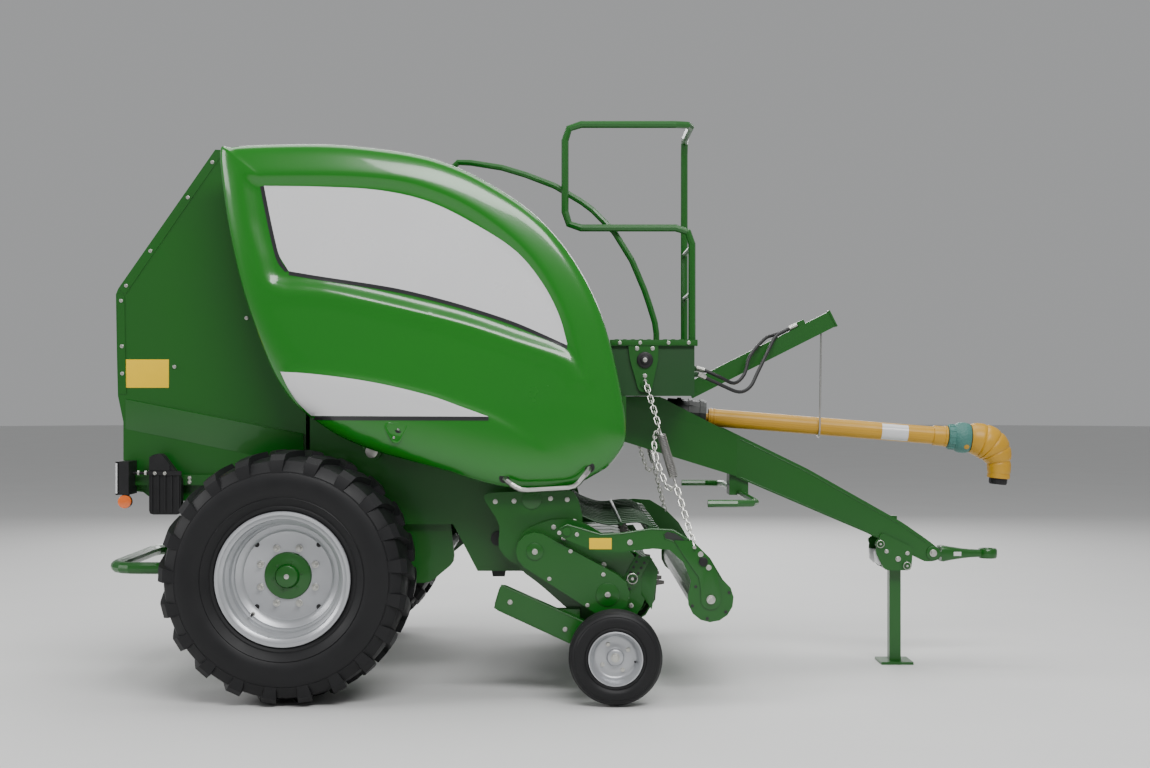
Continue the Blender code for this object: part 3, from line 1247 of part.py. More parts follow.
def build_rotor():
    """Feed rotor between the pickup and the chamber, in the walls' bearings."""
    body = pivot("feed_rotor_axis", (ROTOR_X, 0, ROTOR_Z))
    reach = HALF_IN - 0.012
    shaft = rod((ROTOR_X, -HALF_OUT - 0.012, ROTOR_Z), (ROTOR_X, HALF_OUT + 0.012, ROTOR_Z),
                SPINDLE_RADIUS, 24)
    drum = rod((ROTOR_X, -reach, ROTOR_Z), (ROTOR_X, reach, ROTOR_Z), 0.085, 16)
    stars = []
    for i in range(ROTOR_STARS):
        y = -reach + 0.04 + (2 * reach - 0.08) * i / (ROTOR_STARS - 1)
        stars.append(slab(star((ROTOR_X, ROTOR_Z), ROTOR_RADIUS, 4, 0.08, 0.06), y - 0.006, y + 0.006))
    node("feed_rotor", combine(shaft, [drum] + stars), DARK, body)


# ------------------------------------------------------------------ rear
def build_rear():
    """Bale bumper, lamps and wheel chocks."""
    bumper = tube([(-0.30 - SEAT, -BUMPER_HALF, BUMPER_Z), (BUMPER_REAR, -BUMPER_HALF, BUMPER_Z),
                   (BUMPER_REAR, BUMPER_HALF, BUMPER_Z), (-0.30 - SEAT, BUMPER_HALF, BUMPER_Z)],
                  BUMPER_RADIUS, 0.16, sides=12, bend_steps=5)
    node("bumper", bumper, GREEN)
    arm = HALF_OUT + 0.02
    for side, tag in SIDES:
        lamp = box((LAMP_ARM_REAR - 0.055, side * arm, 0.945),
                   (LAMP_ARM_REAR - SEAT, side * (arm + 0.15), 1.105))
        node("rear_lamp_" + tag, lamp, BLACK)
        outline = filleted([(-0.73, 0.845), (-0.73, 1.13), (-0.67, 1.145), (-0.575, 1.02), (-0.575, 0.845)],
                           0.02)
        chock = side_slab(side, outline, arm + 0.03 + SEAT, arm + 0.03 + CHOCK_THICK)
        node("wheel_chock_" + tag, chock, BLACK)


# ------------------------------------------------------------------ the whole machine
build_wheels()
build_axle()
build_chassis()
build_chamber_front()
build_tailgate()
build_rams()
build_covers()
build_drawbar()
build_hitch()
build_jack()
build_gearbox()
build_shaft()
build_front()
build_carrier()
build_pickup()
build_rotor()
build_rear()
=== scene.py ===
"""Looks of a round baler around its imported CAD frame.

Metres, +Z up, +X towards the hitch, -Y the machine's right-hand side. Places are
given as (x, y, z) with x from the axle and z from the ground, and at() moves them
into the frame. CAD nodes whose shape is right stay and get a better material; tyres,
rims, covers and the drive shaft's guards are replaced with finer pieces.
"""
import math

import bmesh
import bpy
from mathutils import Matrix, Vector


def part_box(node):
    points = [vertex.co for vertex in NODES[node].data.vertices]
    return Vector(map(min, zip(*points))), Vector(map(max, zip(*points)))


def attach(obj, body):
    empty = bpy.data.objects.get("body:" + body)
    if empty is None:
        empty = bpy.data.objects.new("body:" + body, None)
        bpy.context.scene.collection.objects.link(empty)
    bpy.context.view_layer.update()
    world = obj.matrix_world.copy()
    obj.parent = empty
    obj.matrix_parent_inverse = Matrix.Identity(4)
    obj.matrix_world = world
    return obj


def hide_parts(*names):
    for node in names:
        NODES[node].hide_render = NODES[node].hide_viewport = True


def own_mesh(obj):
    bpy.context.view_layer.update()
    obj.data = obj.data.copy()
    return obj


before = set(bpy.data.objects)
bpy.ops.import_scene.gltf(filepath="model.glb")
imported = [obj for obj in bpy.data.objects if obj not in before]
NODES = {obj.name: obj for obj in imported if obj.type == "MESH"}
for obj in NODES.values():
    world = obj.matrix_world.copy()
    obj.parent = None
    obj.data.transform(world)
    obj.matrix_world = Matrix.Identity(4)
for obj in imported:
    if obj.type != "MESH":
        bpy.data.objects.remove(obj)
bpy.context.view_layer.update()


def middle_of(node):
    """Centre of a CAD node's box."""
    low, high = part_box(node)
    return (Vector(low) + Vector(high)) / 2


AXLE_X = middle_of("wheel_tyre_r").x
SIDES = ((-1, "r"), (1, "l"))
Y = Vector((0, 1, 0))
Z = Vector((0, 0, 1))


def at(x, y, z):
    """A place measured from the axle, in the frame."""
    return Vector((AXLE_X + x, y, z))


# ------------------------------------------------------------------ camera and light
def link(obj):
    """Put an object in the scene."""
    bpy.context.scene.collection.objects.link(obj)
    return obj


def make_camera():
    """Camera at the photograph's viewing angle: level, square to the machine's right side."""
    data = bpy.data.cameras.new("camera")
    data.sensor_width = 36.0
    data.lens = 49.9
    data.shift_x = 0.0113
    data.shift_y = 0.0052
    camera = link(bpy.data.objects.new("camera", data))
    camera.location = at(1.275, -8.5, 1.45)
    camera.rotation_euler = (math.radians(90), 0, 0)
    bpy.context.scene.camera = camera


def area_light(name, place, target, size, power):
    """One soft rectangular light aimed at a point."""
    data = bpy.data.lights.new(name, "AREA")
    data.shape = "RECTANGLE"
    data.size, data.size_y = size
    data.energy = power
    light = link(bpy.data.objects.new(name, data))
    light.location = place
    light.rotation_euler = (Vector(target) - Vector(place)).to_track_quat("-Z", "Y").to_euler()


def make_studio():
    """Soft light from above and all round, on a plain pale floor."""
    area_light("key_light", (1.5, -6.5, 6.5), (0, 0, 1.2), (6.0, 2.0), 560)
    area_light("top_light", (0.0, 0.5, 7.5), (0, 0, 0.5), (8.0, 4.0), 420)
    area_light("left_light", (-7.5, -3.0, 4.0), (0, 0, 1.2), (3.0, 3.0), 220)
    area_light("rear_light", (0.0, 8.0, 4.5), (0, 0, 1.0), (7.0, 3.0), 420)
    world = bpy.data.worlds.new("studio")
    world.use_nodes = True
    set_inputs(world.node_tree.nodes["Background"], {"Color": (0.86, 0.87, 0.88, 1), "Strength": 0.42})
    bpy.context.scene.world = world
    mesh = bpy.data.meshes.new("floor")
    work = bmesh.new()
    bmesh.ops.create_circle(work, cap_ends=True, radius=60, segments=96)
    work.to_mesh(mesh)
    work.free()
    floor = link(bpy.data.objects.new("floor", mesh))
    mesh.materials.append(surface("floor_pale", (0.7, 0.7, 0.69), (0.66, 0.66, 0.655), 1.2,
                                  roughness=0.75, bump=0.02, bump_scale=60))


# ------------------------------------------------------------------ materials
def set_inputs(node, values):
    """Set some of a shader node's inputs."""
    for name, value in values.items():
        node.inputs[name].default_value = value


def noise(nodes, links, mapping, scale, detail, roughness=0.5):
    """A noise texture on the object's own coordinates."""
    texture = nodes.new("ShaderNodeTexNoise")
    set_inputs(texture, {"Scale": scale, "Detail": detail, "Roughness": roughness})
    links.new(mapping.outputs["Vector"], texture.inputs["Vector"])
    return texture.outputs["Fac"]


def mixed(nodes, links, factor, first, second):
    """A blend of two colours; the first may be another node's output."""
    blend = nodes.new("ShaderNodeMix")
    blend.data_type = "RGBA"
    links.new(factor, blend.inputs[0])
    if isinstance(first, tuple):
        blend.inputs[6].default_value = (*first, 1)
    else:
        links.new(first, blend.inputs[6])
    blend.inputs[7].default_value = (*second, 1)
    return blend.outputs[2]


def surface(name, colour, second, scale, roughness=0.5, spread=0.08, bump=0.1, bump_scale=300,
            metallic=0.0, coat=0.0, stretch=(1, 1, 1), speck=None, specular=0.5):
    """A procedural finish: two close colours in soft clouds, uneven gloss and a fine grain.

    speck is (colour, share): small marks over that share of the surface.
    """
    material = bpy.data.materials.new(name)
    material.use_nodes = True
    nodes = material.node_tree.nodes
    links = material.node_tree.links
    shader = nodes["Principled BSDF"]
    set_inputs(shader, {"Metallic": metallic, "Coat Weight": coat, "Coat Roughness": 0.06,
                        "Specular IOR Level": specular})
    place = nodes.new("ShaderNodeTexCoord")
    mapping = nodes.new("ShaderNodeMapping")
    mapping.inputs["Scale"].default_value = stretch
    links.new(place.outputs["Object"], mapping.inputs["Vector"])
    clouds = noise(nodes, links, mapping, scale, 5)
    colour_out = mixed(nodes, links, clouds, colour, second)
    if speck:
        dots = noise(nodes, links, mapping, 38, 8, 0.75)
        ramp = nodes.new("ShaderNodeMapRange")
        set_inputs(ramp, {"From Min": 0.72 - speck[1], "From Max": 0.8 - speck[1], "To Max": 0.65})
        links.new(dots, ramp.inputs["Value"])
        colour_out = mixed(nodes, links, ramp.outputs["Result"], colour_out, speck[0])
    links.new(colour_out, shader.inputs["Base Color"])
    gloss = nodes.new("ShaderNodeMapRange")
    set_inputs(gloss, {"To Min": max(0.02, roughness - spread), "To Max": roughness + spread})
    links.new(clouds, gloss.inputs["Value"])
    links.new(gloss.outputs["Result"], shader.inputs["Roughness"])
    relief = nodes.new("ShaderNodeBump")
    set_inputs(relief, {"Strength": bump, "Distance": 0.001})
    links.new(noise(nodes, links, mapping, bump_scale, 3), relief.inputs["Height"])
    links.new(relief.outputs["Normal"], shader.inputs["Normal"])
    return material


def woven(name, colour, second, cell):
    """Moulded mesh: round-cornered cells sunk between raised bars."""
    material = surface(name, colour, second, 30, roughness=0.55)
    nodes = material.node_tree.nodes
    links = material.node_tree.links
    cells = nodes.new("ShaderNodeTexVoronoi")
    cells.feature = "DISTANCE_TO_EDGE"
    cells.inputs["Scale"].default_value = 1 / cell
    links.new(nodes["Texture Coordinate"].outputs["Object"], cells.inputs["Vector"])
    set_inputs(nodes["Bump"], {"Strength": 0.9, "Distance": 0.004})
    links.new(cells.outputs["Distance"], nodes["Bump"].inputs["Height"])
    return material


GREEN = surface("green_paint", (0.003, 0.1, 0.003), (0.002, 0.078, 0.003), 2.2, roughness=0.34,
                bump=0.05, bump_scale=420, coat=0.25, speck=((0.02, 0.07, 0.015), 0.02))
COVER_GREEN = surface("cover_paint", (0.003, 0.165, 0.002), (0.002, 0.135, 0.002), 1.4, roughness=0.26,
                      spread=0.04, bump=0.03, bump_scale=220, coat=0.55)
DARK_GREEN = surface("dark_green_paint", (0.005, 0.06, 0.008), (0.004, 0.044, 0.006), 4, roughness=0.42,
                     bump=0.08, bump_scale=350, speck=((0.02, 0.03, 0.02), 0.05))
# dark paint of the gearbox and feed rotor; the same material is painted shade standing in for the open
# holes and slot on the pickup and crop guard
DARK = surface("dark_paint_and_hole_shade", (0.012, 0.016, 0.013), (0.02, 0.024, 0.02), 6, roughness=0.48,
               bump=0.12, bump_scale=260, speck=((0.06, 0.06, 0.05), 0.05))
RUBBER = surface("tyre_rubber", (0.006, 0.006, 0.007), (0.011, 0.011, 0.012), 9, roughness=0.5,
                 spread=0.12, bump=0.25, bump_scale=240, specular=0.3, speck=((0.03, 0.029, 0.027), 0.04))
SILVER = surface("rim_paint", (0.5, 0.51, 0.53), (0.42, 0.43, 0.45), 5, roughness=0.34,
                 bump=0.06, bump_scale=500, metallic=0.55, speck=((0.22, 0.22, 0.22), 0.03))
STEEL = surface("bare_steel", (0.56, 0.55, 0.53), (0.44, 0.43, 0.42), 14, roughness=0.3,
                bump=0.15, bump_scale=180, metallic=1.0, stretch=(1, 6, 1))
ZINC = surface("zinc_plate", (0.62, 0.61, 0.56), (0.5, 0.5, 0.48), 40, roughness=0.36,
               bump=0.1, bump_scale=400, metallic=0.9)
WORN = surface("worn_steel", (0.2, 0.19, 0.18), (0.12, 0.115, 0.11), 12, roughness=0.42,
               bump=0.2, bump_scale=220, metallic=0.85, speck=((0.1, 0.05, 0.025), 0.05))
YELLOW = surface("yellow_plastic", (0.56, 0.3, 0.01), (0.46, 0.24, 0.01), 7, roughness=0.42,
                 bump=0.12, bump_scale=200, speck=((0.22, 0.14, 0.04), 0.06))
PLATE_YELLOW = surface("plate_yellow", (0.86, 0.56, 0.004), (0.8, 0.51, 0.004), 18, roughness=0.38,
                       bump=0.03)
TEAL = woven("collar_mesh", (0.055, 0.2, 0.17), (0.04, 0.15, 0.13), 0.016)
# black plastic of lamps, chocks and grips; the same material is painted shade standing in for the open
# holes in the rims' discs
BLACK = surface("black_plastic", (0.008, 0.008, 0.009), (0.014, 0.014, 0.015), 20, roughness=0.45,
                bump=0.2, bump_scale=320, specular=0.35)
HOSE = surface("hose_rubber", (0.01, 0.01, 0.011), (0.018, 0.018, 0.018), 60, roughness=0.55,
               bump=0.3, bump_scale=500)
WHITE = surface("decal_white", (0.66, 0.66, 0.67), (0.6, 0.6, 0.61), 3, roughness=0.28, spread=0.04,
                bump=0.02, coat=0.4)
DECAL_BLACK = surface("decal_black", (0.014, 0.014, 0.016), (0.02, 0.02, 0.022), 8, roughness=0.3,
                      bump=0.02, coat=0.3)
AMBER = surface("amber_lens", (0.8, 0.16, 0.01), (0.66, 0.11, 0.01), 60, roughness=0.16, spread=0.03,
                bump=0.25, bump_scale=900, coat=0.8)
RED = surface("red_lens", (0.45, 0.012, 0.01), (0.36, 0.01, 0.008), 60, roughness=0.16, spread=0.03,
              bump=0.25, bump_scale=900, coat=0.8)


# ------------------------------------------------------------------ mesh building
class Piece:
    """A mesh under construction; each shape added to it takes one of its materials."""

    def __init__(self, name, *materials):
        self.name = name
        self.materials = materials
        self.work = bmesh.new()

    def face(self, verts, mat):
        """One face, unless two of its corners coincide."""
        if len(set(verts)) > 2:
            face = self.work.faces.new(verts)
            face.material_index = mat
            face.smooth = True

    def loft(self, rings, mat=0, closed=True, caps=True):
        """Skin over rings of points; a closed piece gets end caps, and faces point outward."""
        rows = [[self.work.verts.new(point) for point in ring] for ring in rings]
        count = len(rows[0])
        first = len(self.work.faces)
        for low, high in zip(rows, rows[1:]):
            for i in range(count if closed else count - 1):
                j = (i + 1) % count
                self.face((low[i], low[j], high[j], high[i]), mat)
        if caps:
            self.face(list(reversed(rows[0])), mat)
            self.face(rows[-1], mat)
        self.work.faces.ensure_lookup_table()
        bmesh.ops.recalc_face_normals(self.work, faces=self.work.faces[first:])

    def tube(self, path, radius, sides=14, mat=0, closed=False):
        """A round tube along a path, with its own radius at each point where one is given."""
        path = [Vector(point) for point in path]
        radii = radius if isinstance(radius, (list, tuple)) else [radius] * len(path)
        ways = []
        for i in range(len(path)):
            before = path[i - 1] if closed or i else path[0]
            after = path[(i + 1) % len(path)] if closed or i < len(path) - 1 else path[-1]
            ways.append((after - before).normalized())
        side = ways[0].orthogonal().normalized()
        rings = []
        for point, way, size in zip(path, ways, radii):
            side = (side - way * side.dot(way)).normalized()
            up = way.cross(side)
            rings.append([point + (side * math.cos(a) + up * math.sin(a)) * size
                          for a in (2 * math.pi * k / sides for k in range(sides))])
        if closed:
            rings.append(rings[0])
        self.loft(rings, mat, caps=not closed)

    def lathe(self, profile, centre, axis, steps=48, mat=0, loop=True):
        """A profile of (radius, height) turned about an axis; a loop profile closes on itself."""
        axis = Vector(axis).normalized()
        side = axis.orthogonal().normalized()
        up = axis.cross(side)
        centre = Vector(centre)
        first = len(self.work.faces)
        rows = []
        for k in range(steps):
            a = 2 * math.pi * k / steps
            way = side * math.cos(a) + up * math.sin(a)
            rows.append([self.work.verts.new(centre + way * radius + axis * height)
                         for radius, height in profile])
        count = len(profile)
        for k in range(steps):
            low, high = rows[k], rows[(k + 1) % steps]
            for i in range(count if loop else count - 1):
                j = (i + 1) % count
                self.face((low[i], low[j], high[j], high[i]), mat)
        bmesh.ops.remove_doubles(self.work, verts=[v for row in rows for v in row], dist=1e-6)
        self.work.faces.ensure_lookup_table()
        bmesh.ops.recalc_face_normals(self.work, faces=self.work.faces[first:])

    def disc(self, centre, axis, radius, height, mat=0, steps=32, round_edge=0.0015):
        """A short round post with a rounded outer edge."""
        edge = min(round_edge, height / 3, radius / 4)
        profile = [(0, 0), (radius, 0), (radius, height - edge),
                   (radius - edge * 0.3, height - edge * 0.3), (radius - edge, height), (0, height)]
        self.lathe(profile, centre, axis, steps, mat, loop=False)

    def slab(self, outline, y_near, y_far, mat=0, bevel=0.0015):
        """An outline in XZ (x from the axle) given a thickness along Y, edges eased."""
        low, high = min(y_near, y_far), max(y_near, y_far)
        self.prism([(at(x, low, z), at(x, high, z)) for x, z in outline], mat, bevel)

    def prism(self, pairs, mat=0, bevel=0.0015):
        """A solid between two matching outlines, its edges eased."""
        lower = [self.work.verts.new(a) for a, _ in pairs]
        upper = [self.work.verts.new(b) for _, b in pairs]
        first = len(self.work.faces)
        self.face(list(reversed(lower)), mat)
        self.face(upper, mat)
        for i in range(len(pairs)):
            j = (i + 1) % len(pairs)
            self.face((lower[i], lower[j], upper[j], upper[i]), mat)
        self.work.faces.ensure_lookup_table()
        added = self.work.faces[first:]
        bmesh.ops.recalc_face_normals(self.work, faces=added)
        if bevel:
            edges = list({edge for face in added for edge in face.edges})
            bmesh.ops.bevel(self.work, geom=edges, offset=bevel, segments=2, profile=0.7,
                            affect="EDGES", clamp_overlap=True, material=-1)

    def box(self, low, high, mat=0, bevel=0.0015):
        """A box between two corners (x from the axle), edges eased."""
        (x0, y0, z0), (x1, y1, z1) = low, high
        corners = [(x0, z0), (x1, z0), (x1, z1), (x0, z1)]
        self.prism([(at(x, y0, z), at(x, y1, z)) for x, z in corners], mat, bevel)

    def bolt(self, centre, axis, size=0.009, mat=0, washer=True, turn=0.3):
        """A hexagon head on a washer."""
        axis = Vector(axis).normalized()
        centre = Vector(centre)
        if washer:
            self.disc(centre, axis, size * 1.25, size * 0.18, mat, steps=20)
        side = axis.orthogonal().normalized()
        up = axis.cross(side)
        rings = []
        for height, share in ((0.0, 1.0), (0.72, 1.0), (0.8, 0.9)):
            angles = [turn + math.pi * k / 3 for k in range(6)]
            rings.append([centre + (side * math.cos(a) + up * math.sin(a)) * size * share
                          + axis * size * (0.16 + height) for a in angles])
        self.loft(rings, mat)

    def done(self, body, slot=None, replaces=(), angle=32):
        """Turn the work into an object that rides on a body."""
        mesh = bpy.data.meshes.new(self.name)
        self.work.to_mesh(mesh)
        self.work.free()
        obj = link(bpy.data.objects.new(self.name, mesh))
        for material in self.materials:
            mesh.materials.append(material)
        mesh.set_sharp_from_angle(angle=math.radians(angle))
        return keep(obj, body, replaces)


def keep(obj, body, replaces=()):
    """Ride on a body and stand for CAD nodes."""
    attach(obj, body)
    if replaces:
        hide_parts(*replaces)
    return obj


def smooth_run(points, per_span=6, closed=False):
    """A smooth curve through a few points, of any dimension."""
    points = [Vector(point) for point in points]
    count = len(points)
    spans = count if closed else count - 1
    result = []
    for i in range(spans):
        b, c = points[i], points[(i + 1) % count]
        a = points[i - 1] if closed or i else b * 2 - c
        d = points[(i + 2) % count] if closed or i + 2 < count else c * 2 - b
        for k in range(per_span):
            t = k / per_span
            result.append(0.5 * (2 * b + (c - a) * t + (2 * a - 5 * b + 4 * c - d) * t * t
                                 + (3 * b - 3 * c + d - a) * t * t * t))
    if not closed:
        result.append(points[-1])
    return result


def smoothstep(low, high, value):
    """0 below low, 1 above high, and an easy ramp between."""
    t = max(0.0, min(1.0, (value - low) / (high - low)))
    return t * t * (3 - 2 * t)


def circle_run(centre, radius, steps, start=0.0, sweep=360.0):
    """Points of a circle or an arc in XZ."""
    full = abs(sweep) >= 360
    count = steps if full else steps + 1
    return [(centre[0] + radius * math.cos(math.radians(start + sweep * k / steps)),
             centre[1] + radius * math.sin(math.radians(start + sweep * k / steps)))
            for k in range(count)]


# ------------------------------------------------------------------ hoses
HOSE_RADIUS = 0.009
ARM_Y = -0.1


def on_arm(share, aside):
    """Middle of a hose that lies along the arm's top, at a share of the arm's length."""
    foot = Vector((1.985, 1.466))
    along = Vector((2.693, 1.823)) - foot
    square = Vector((-along.y, along.x)).normalized()
    x, z = foot + along * share + square * (0.0425 + HOSE_RADIUS + 0.0035)
    return x, ARM_Y + aside, z


def make_hoses():
    """The two hydraulic hoses that loop from the net box over to the arm."""
    start_x = 1.9603
    routes = {
        "hydraulic_hose_1": [
            (start_x, -0.45, 1.53), (2.047, -0.428, 1.491), (2.094, -0.415, 1.47), (2.175, -0.39, 1.44),
            (2.237, -0.348, 1.466), (2.285, -0.286, 1.544), (2.356, -0.19, 1.667), (2.393, -0.143, 1.727),
            on_arm(0.68, -0.012), on_arm(0.78, -0.012)],
        "hydraulic_hose_2": [
            (start_x, -0.37, 1.56), (2.01, -0.38, 1.546), (2.084, -0.372, 1.514), (2.16, -0.305, 1.485),
            (2.219, -0.244, 1.531), (2.254, -0.2, 1.627), (2.336, -0.144, 1.717), (2.386, -0.111, 1.738),
            on_arm(0.67, 0.012), on_arm(0.78, 0.012)],
    }
    for node, route in routes.items():
        run = [at(*point) for point in smooth_run(route, 4)]
        data = bpy.data.curves.new(node, "CURVE")
        data.dimensions = "3D"
        data.bevel_depth = HOSE_RADIUS
        data.bevel_resolution = 5
        data.use_fill_caps = True
        spline = data.splines.new("POLY")
        spline.points.add(len(run) - 1)
        for point, place in zip(spline.points, run):
            point.co = (*place, 1)
        data.materials.append(HOSE)
        hose = link(bpy.data.objects.new("look_" + node, data))
        keep(hose, "frame", [node])
        ends = Piece("fittings_" + node, ZINC)
        for near, far in ((run[0], run[2]), (run[-1], run[-3])):
            way = (far - near).normalized()
            ends.tube([near + way * 0.001, near + way * 0.045], HOSE_RADIUS + 0.0035, 16)
            for share in (0.01, 0.022, 0.034):
                ends.tube([near + way * share, near + way * (share + 0.004)], HOSE_RADIUS + 0.005, 16)
        fittings = ends.done("frame", "bare_steel")


# ------------------------------------------------------------------ side covers
COVER_EDGE_Y = 0.945
COVER_BULGE = 0.066
COVER_MIDDLE = Vector((0.66, 1.8))
COVER_EDGE = [
    (-0.345, 2.575), (-0.29, 2.6), (-0.118, 2.611), (0.16, 2.613), (0.389, 2.594), (0.602, 2.56),
    (0.75, 2.515), (0.896, 2.447), (1.09, 2.325), (1.235, 2.19), (1.356, 2.024), (1.452, 1.831),
    (1.512, 1.638), (1.554, 1.445), (1.576, 1.298), (1.567, 1.19), (1.5, 1.095), (1.427, 1.047),
    (1.337, 1.005), (1.171, 0.986), (1.005, 0.991), (0.858, 1.024), (0.744, 1.062), (0.602, 1.101),
    (0.389, 1.161), (0.228, 1.227), (0.103, 1.308), (-0.001, 1.395), (-0.094, 1.54),
    (-0.184, 1.767), (-0.255, 1.997), (-0.312, 2.274),
]
WINDOW_TOP = [(-0.22, 2.45), (0.15, 2.452), (0.46, 2.435), (0.664, 2.384), (0.854, 2.295), (1.045, 2.154),
              (1.172, 2.014), (1.261, 1.861), (1.313, 1.733), (1.34, 1.632)]
WINDOW_LOW = [(1.369, 1.523), (1.299, 1.605), (1.045, 1.695), (0.79, 1.779), (0.456, 1.861),
              (0.15, 1.925), (-0.085, 1.95), (-0.141, 2.078), (-0.193, 2.245)]
DECAL_TOP = [(-0.13, 2.412), (0.14, 2.408), (0.419, 2.391), (0.659, 2.334), (0.899, 2.212), (1.068, 2.095),
             (1.186, 1.949), (1.261, 1.803), (1.299, 1.671)]
DECAL_LOW = [(-0.013, 2.01), (0.15, 1.983), (0.456, 1.936), (0.664, 1.889), (0.865, 1.832),
             (1.071, 1.762), (1.299, 1.661)]
DECAL_REAR = [(-0.13, 2.412), (-0.115, 2.333), (-0.083, 2.18), (-0.052, 2.064), (-0.013, 2.01)]
NAME_TOP = [(-0.052, 1.536), (0.089, 1.527), (0.28, 1.504), (0.459, 1.472), (0.663, 1.421),
            (0.79, 1.376), (0.93, 1.325)]
NAME_BASE_Z = 1.326
STRIP = 0.018            # width of the black strips under the decals


def to_edge(point, run, closed=True):
    """Distance from a point to a run of short straights in XZ."""
    best = 9.0
    last = len(run) if closed else len(run) - 1
    for i in range(last):
        a, b = run[i], run[(i + 1) % len(run)]
        along = b - a
        share = max(0.0, min(1.0, (point - a).dot(along) / max(along.length_squared, 1e-12)))
        best = min(best, (point - a - along * share).length)
    return best


def inside(point, run):
    """Whether a point lies inside a closed run."""
    odd = False
    for i in range(len(run)):
        a, b = run[i - 1], run[i]
        if (a.y > point.y) != (b.y > point.y):
            if point.x < a.x + (point.y - a.y) / (b.y - a.y) * (b.x - a.x):
                odd = not odd
    return odd


COVER_RUN = smooth_run(COVER_EDGE, 8, closed=True)
WINDOW_RUN = smooth_run(WINDOW_TOP, 3) + smooth_run(WINDOW_LOW, 3)
CREASE_RUN = smooth_run(NAME_TOP + [(1.06, 1.255), (1.195, 1.16)], 3)


def cover_reach(way):
    """How far the cover's edge is from its middle in a direction."""
    for i in range(len(COVER_RUN)):
        a = COVER_RUN[i - 1] - COVER_MIDDLE
        b = COVER_RUN[i] - COVER_MIDDLE
        span = b - a
        cross = way.x * span.y - way.y * span.x
        if abs(cross) < 1e-12:
            continue
        reach = (a.x * span.y - a.y * span.x) / cross
        share = (a.x * way.y - a.y * way.x) / cross
        if reach > 0 and -1e-6 <= share <= 1 + 1e-6:
            return reach
    return 1.0


def cover_depth(point, t=None):
    """How far out from the machine's middle the cover's face is at a place in XZ."""
    point = Vector(point)
    offset = point - COVER_MIDDLE
    if t is None:
        t = offset.length / cover_reach(offset.normalized()) if offset.length > 1e-6 else 0.0
    swell = (1 - min(1.0, t) ** 9) ** 0.46 * (1 - 0.07 * t * t)
    depth = COVER_EDGE_Y + COVER_BULGE * swell
    deep = to_edge(point, WINDOW_RUN)
    if not inside(point, WINDOW_RUN):
        deep = -deep
    fade = 1 - smoothstep(0.9, 0.99, t)
    depth -= 0.022 * smoothstep(-0.02, 0.055, deep)
    depth += 0.004 * smoothstep(-0.1, -0.02, deep) * (1 - smoothstep(-0.02, 0.03, deep)) * fade
    above = point.y - crease_height(point.x)
    lip = smoothstep(-0.4, -0.03, above) * (1 - smoothstep(-0.012, 0.03, above))
    lip *= smoothstep(-0.1, 0.05, point.x) * (1 - smoothstep(0.95, 1.25, point.x))
    return depth + 0.008 * lip * fade


def crease_height(x):
    """Height of the crease that runs on from the top of the lower film."""
    run = CREASE_RUN
    for a, b in zip(run, run[1:]):
        if x <= b.x:
            share = max(0.0, (x - a.x) / (b.x - a.x))
            return a.y + (b.y - a.y) * share
    return run[-1].y


def rim_depth(x, z):
    """How far inboard the rolled edge reaches: deep over the top and front, clear of the ram rod."""
    deep = 0.71
    shallow = COVER_EDGE_Y - 0.06
    over_top = smoothstep(2.2, 2.45, z) * smoothstep(-0.118, 0.16, x)
    front = smoothstep(0.78, 0.95, x) * smoothstep(1.1, 1.35, z)
    share = max(over_top, front)
    return shallow + (deep - shallow) * share


LEVELS = [1.0, 0.995, 0.985, 0.97, 0.95, 0.925] + [0.9 - 0.9 * k / 46 for k in range(46)]
RINGS = [[COVER_MIDDLE + (edge - COVER_MIDDLE) * t for edge in COVER_RUN] for t in LEVELS]
DEPTHS = [[cover_depth(place, t) for place in ring] for ring, t in zip(RINGS, LEVELS)]


def cover_panel(side, tag):
    """The pressed cover: rolled edge, crown, sunk window and crease, with its hinge knuckles."""
    shell = bmesh.new()
    rows = []
    for share in (1.0, 0.66, 0.33):
        row = []
        for place in COVER_RUN:
            depth = COVER_EDGE_Y + (rim_depth(place.x, place.y) - COVER_EDGE_Y) * share
            row.append(shell.verts.new(at(place.x, side * depth, place.y)))
        rows.append(row)
    for ring, depths in zip(RINGS, DEPTHS):
        rows.append([shell.verts.new(at(place.x, side * depth, place.y))
                     for place, depth in zip(ring, depths)])
    count = len(COVER_RUN)
    for low, high in zip(rows, rows[1:]):
        for i in range(count):
            j = (i + 1) % count
            shell.faces.new((low[i], low[j], high[j], high[i]))
    crown = shell.verts.new(at(COVER_MIDDLE.x, side * cover_depth(COVER_MIDDLE, 0.0), COVER_MIDDLE.y))
    for i in range(count):
        shell.faces.new((rows[-1][i], rows[-1][(i + 1) % count], crown))
    bmesh.ops.recalc_face_normals(shell, faces=shell.faces)
    if sum(face.normal.y * side * face.calc_area() for face in shell.faces) < 0:
        bmesh.ops.reverse_faces(shell, faces=shell.faces)
    for face in shell.faces:
        face.smooth = True
    bmesh.ops.solidify(shell, geom=shell.faces[:], thickness=0.006)
    for x in (0.2325, 0.3675):
        knuckle = bmesh.ops.create_cone(shell, cap_ends=True, segments=24, radius1=0.011, radius2=0.011,
                                        depth=0.1)
        turn = Matrix.Rotation(math.radians(90), 4, "Y")
        bmesh.ops.transform(shell, matrix=Matrix.Translation(at(x, side * 0.69, 2.6)) @ turn,
                            verts=knuckle["verts"])
        web = bmesh.ops.create_cube(shell, size=1.0)
        shape = Matrix.Translation(at(x, side * 0.715, 2.6)) @ Matrix.Diagonal((0.09, 0.05, 0.006, 1))
        bmesh.ops.transform(shell, matrix=shape, verts=web["verts"])
    mesh = bpy.data.meshes.new("cover_panel_" + tag)
    shell.to_mesh(mesh)
    shell.free()
    panel = link(bpy.data.objects.new("cover_panel_" + tag, mesh))
    mesh.materials.append(COVER_GREEN)
    mesh.set_sharp_from_angle(angle=math.radians(50))
    keep(panel, "side_cover_" + tag, ["side_cover_" + tag])


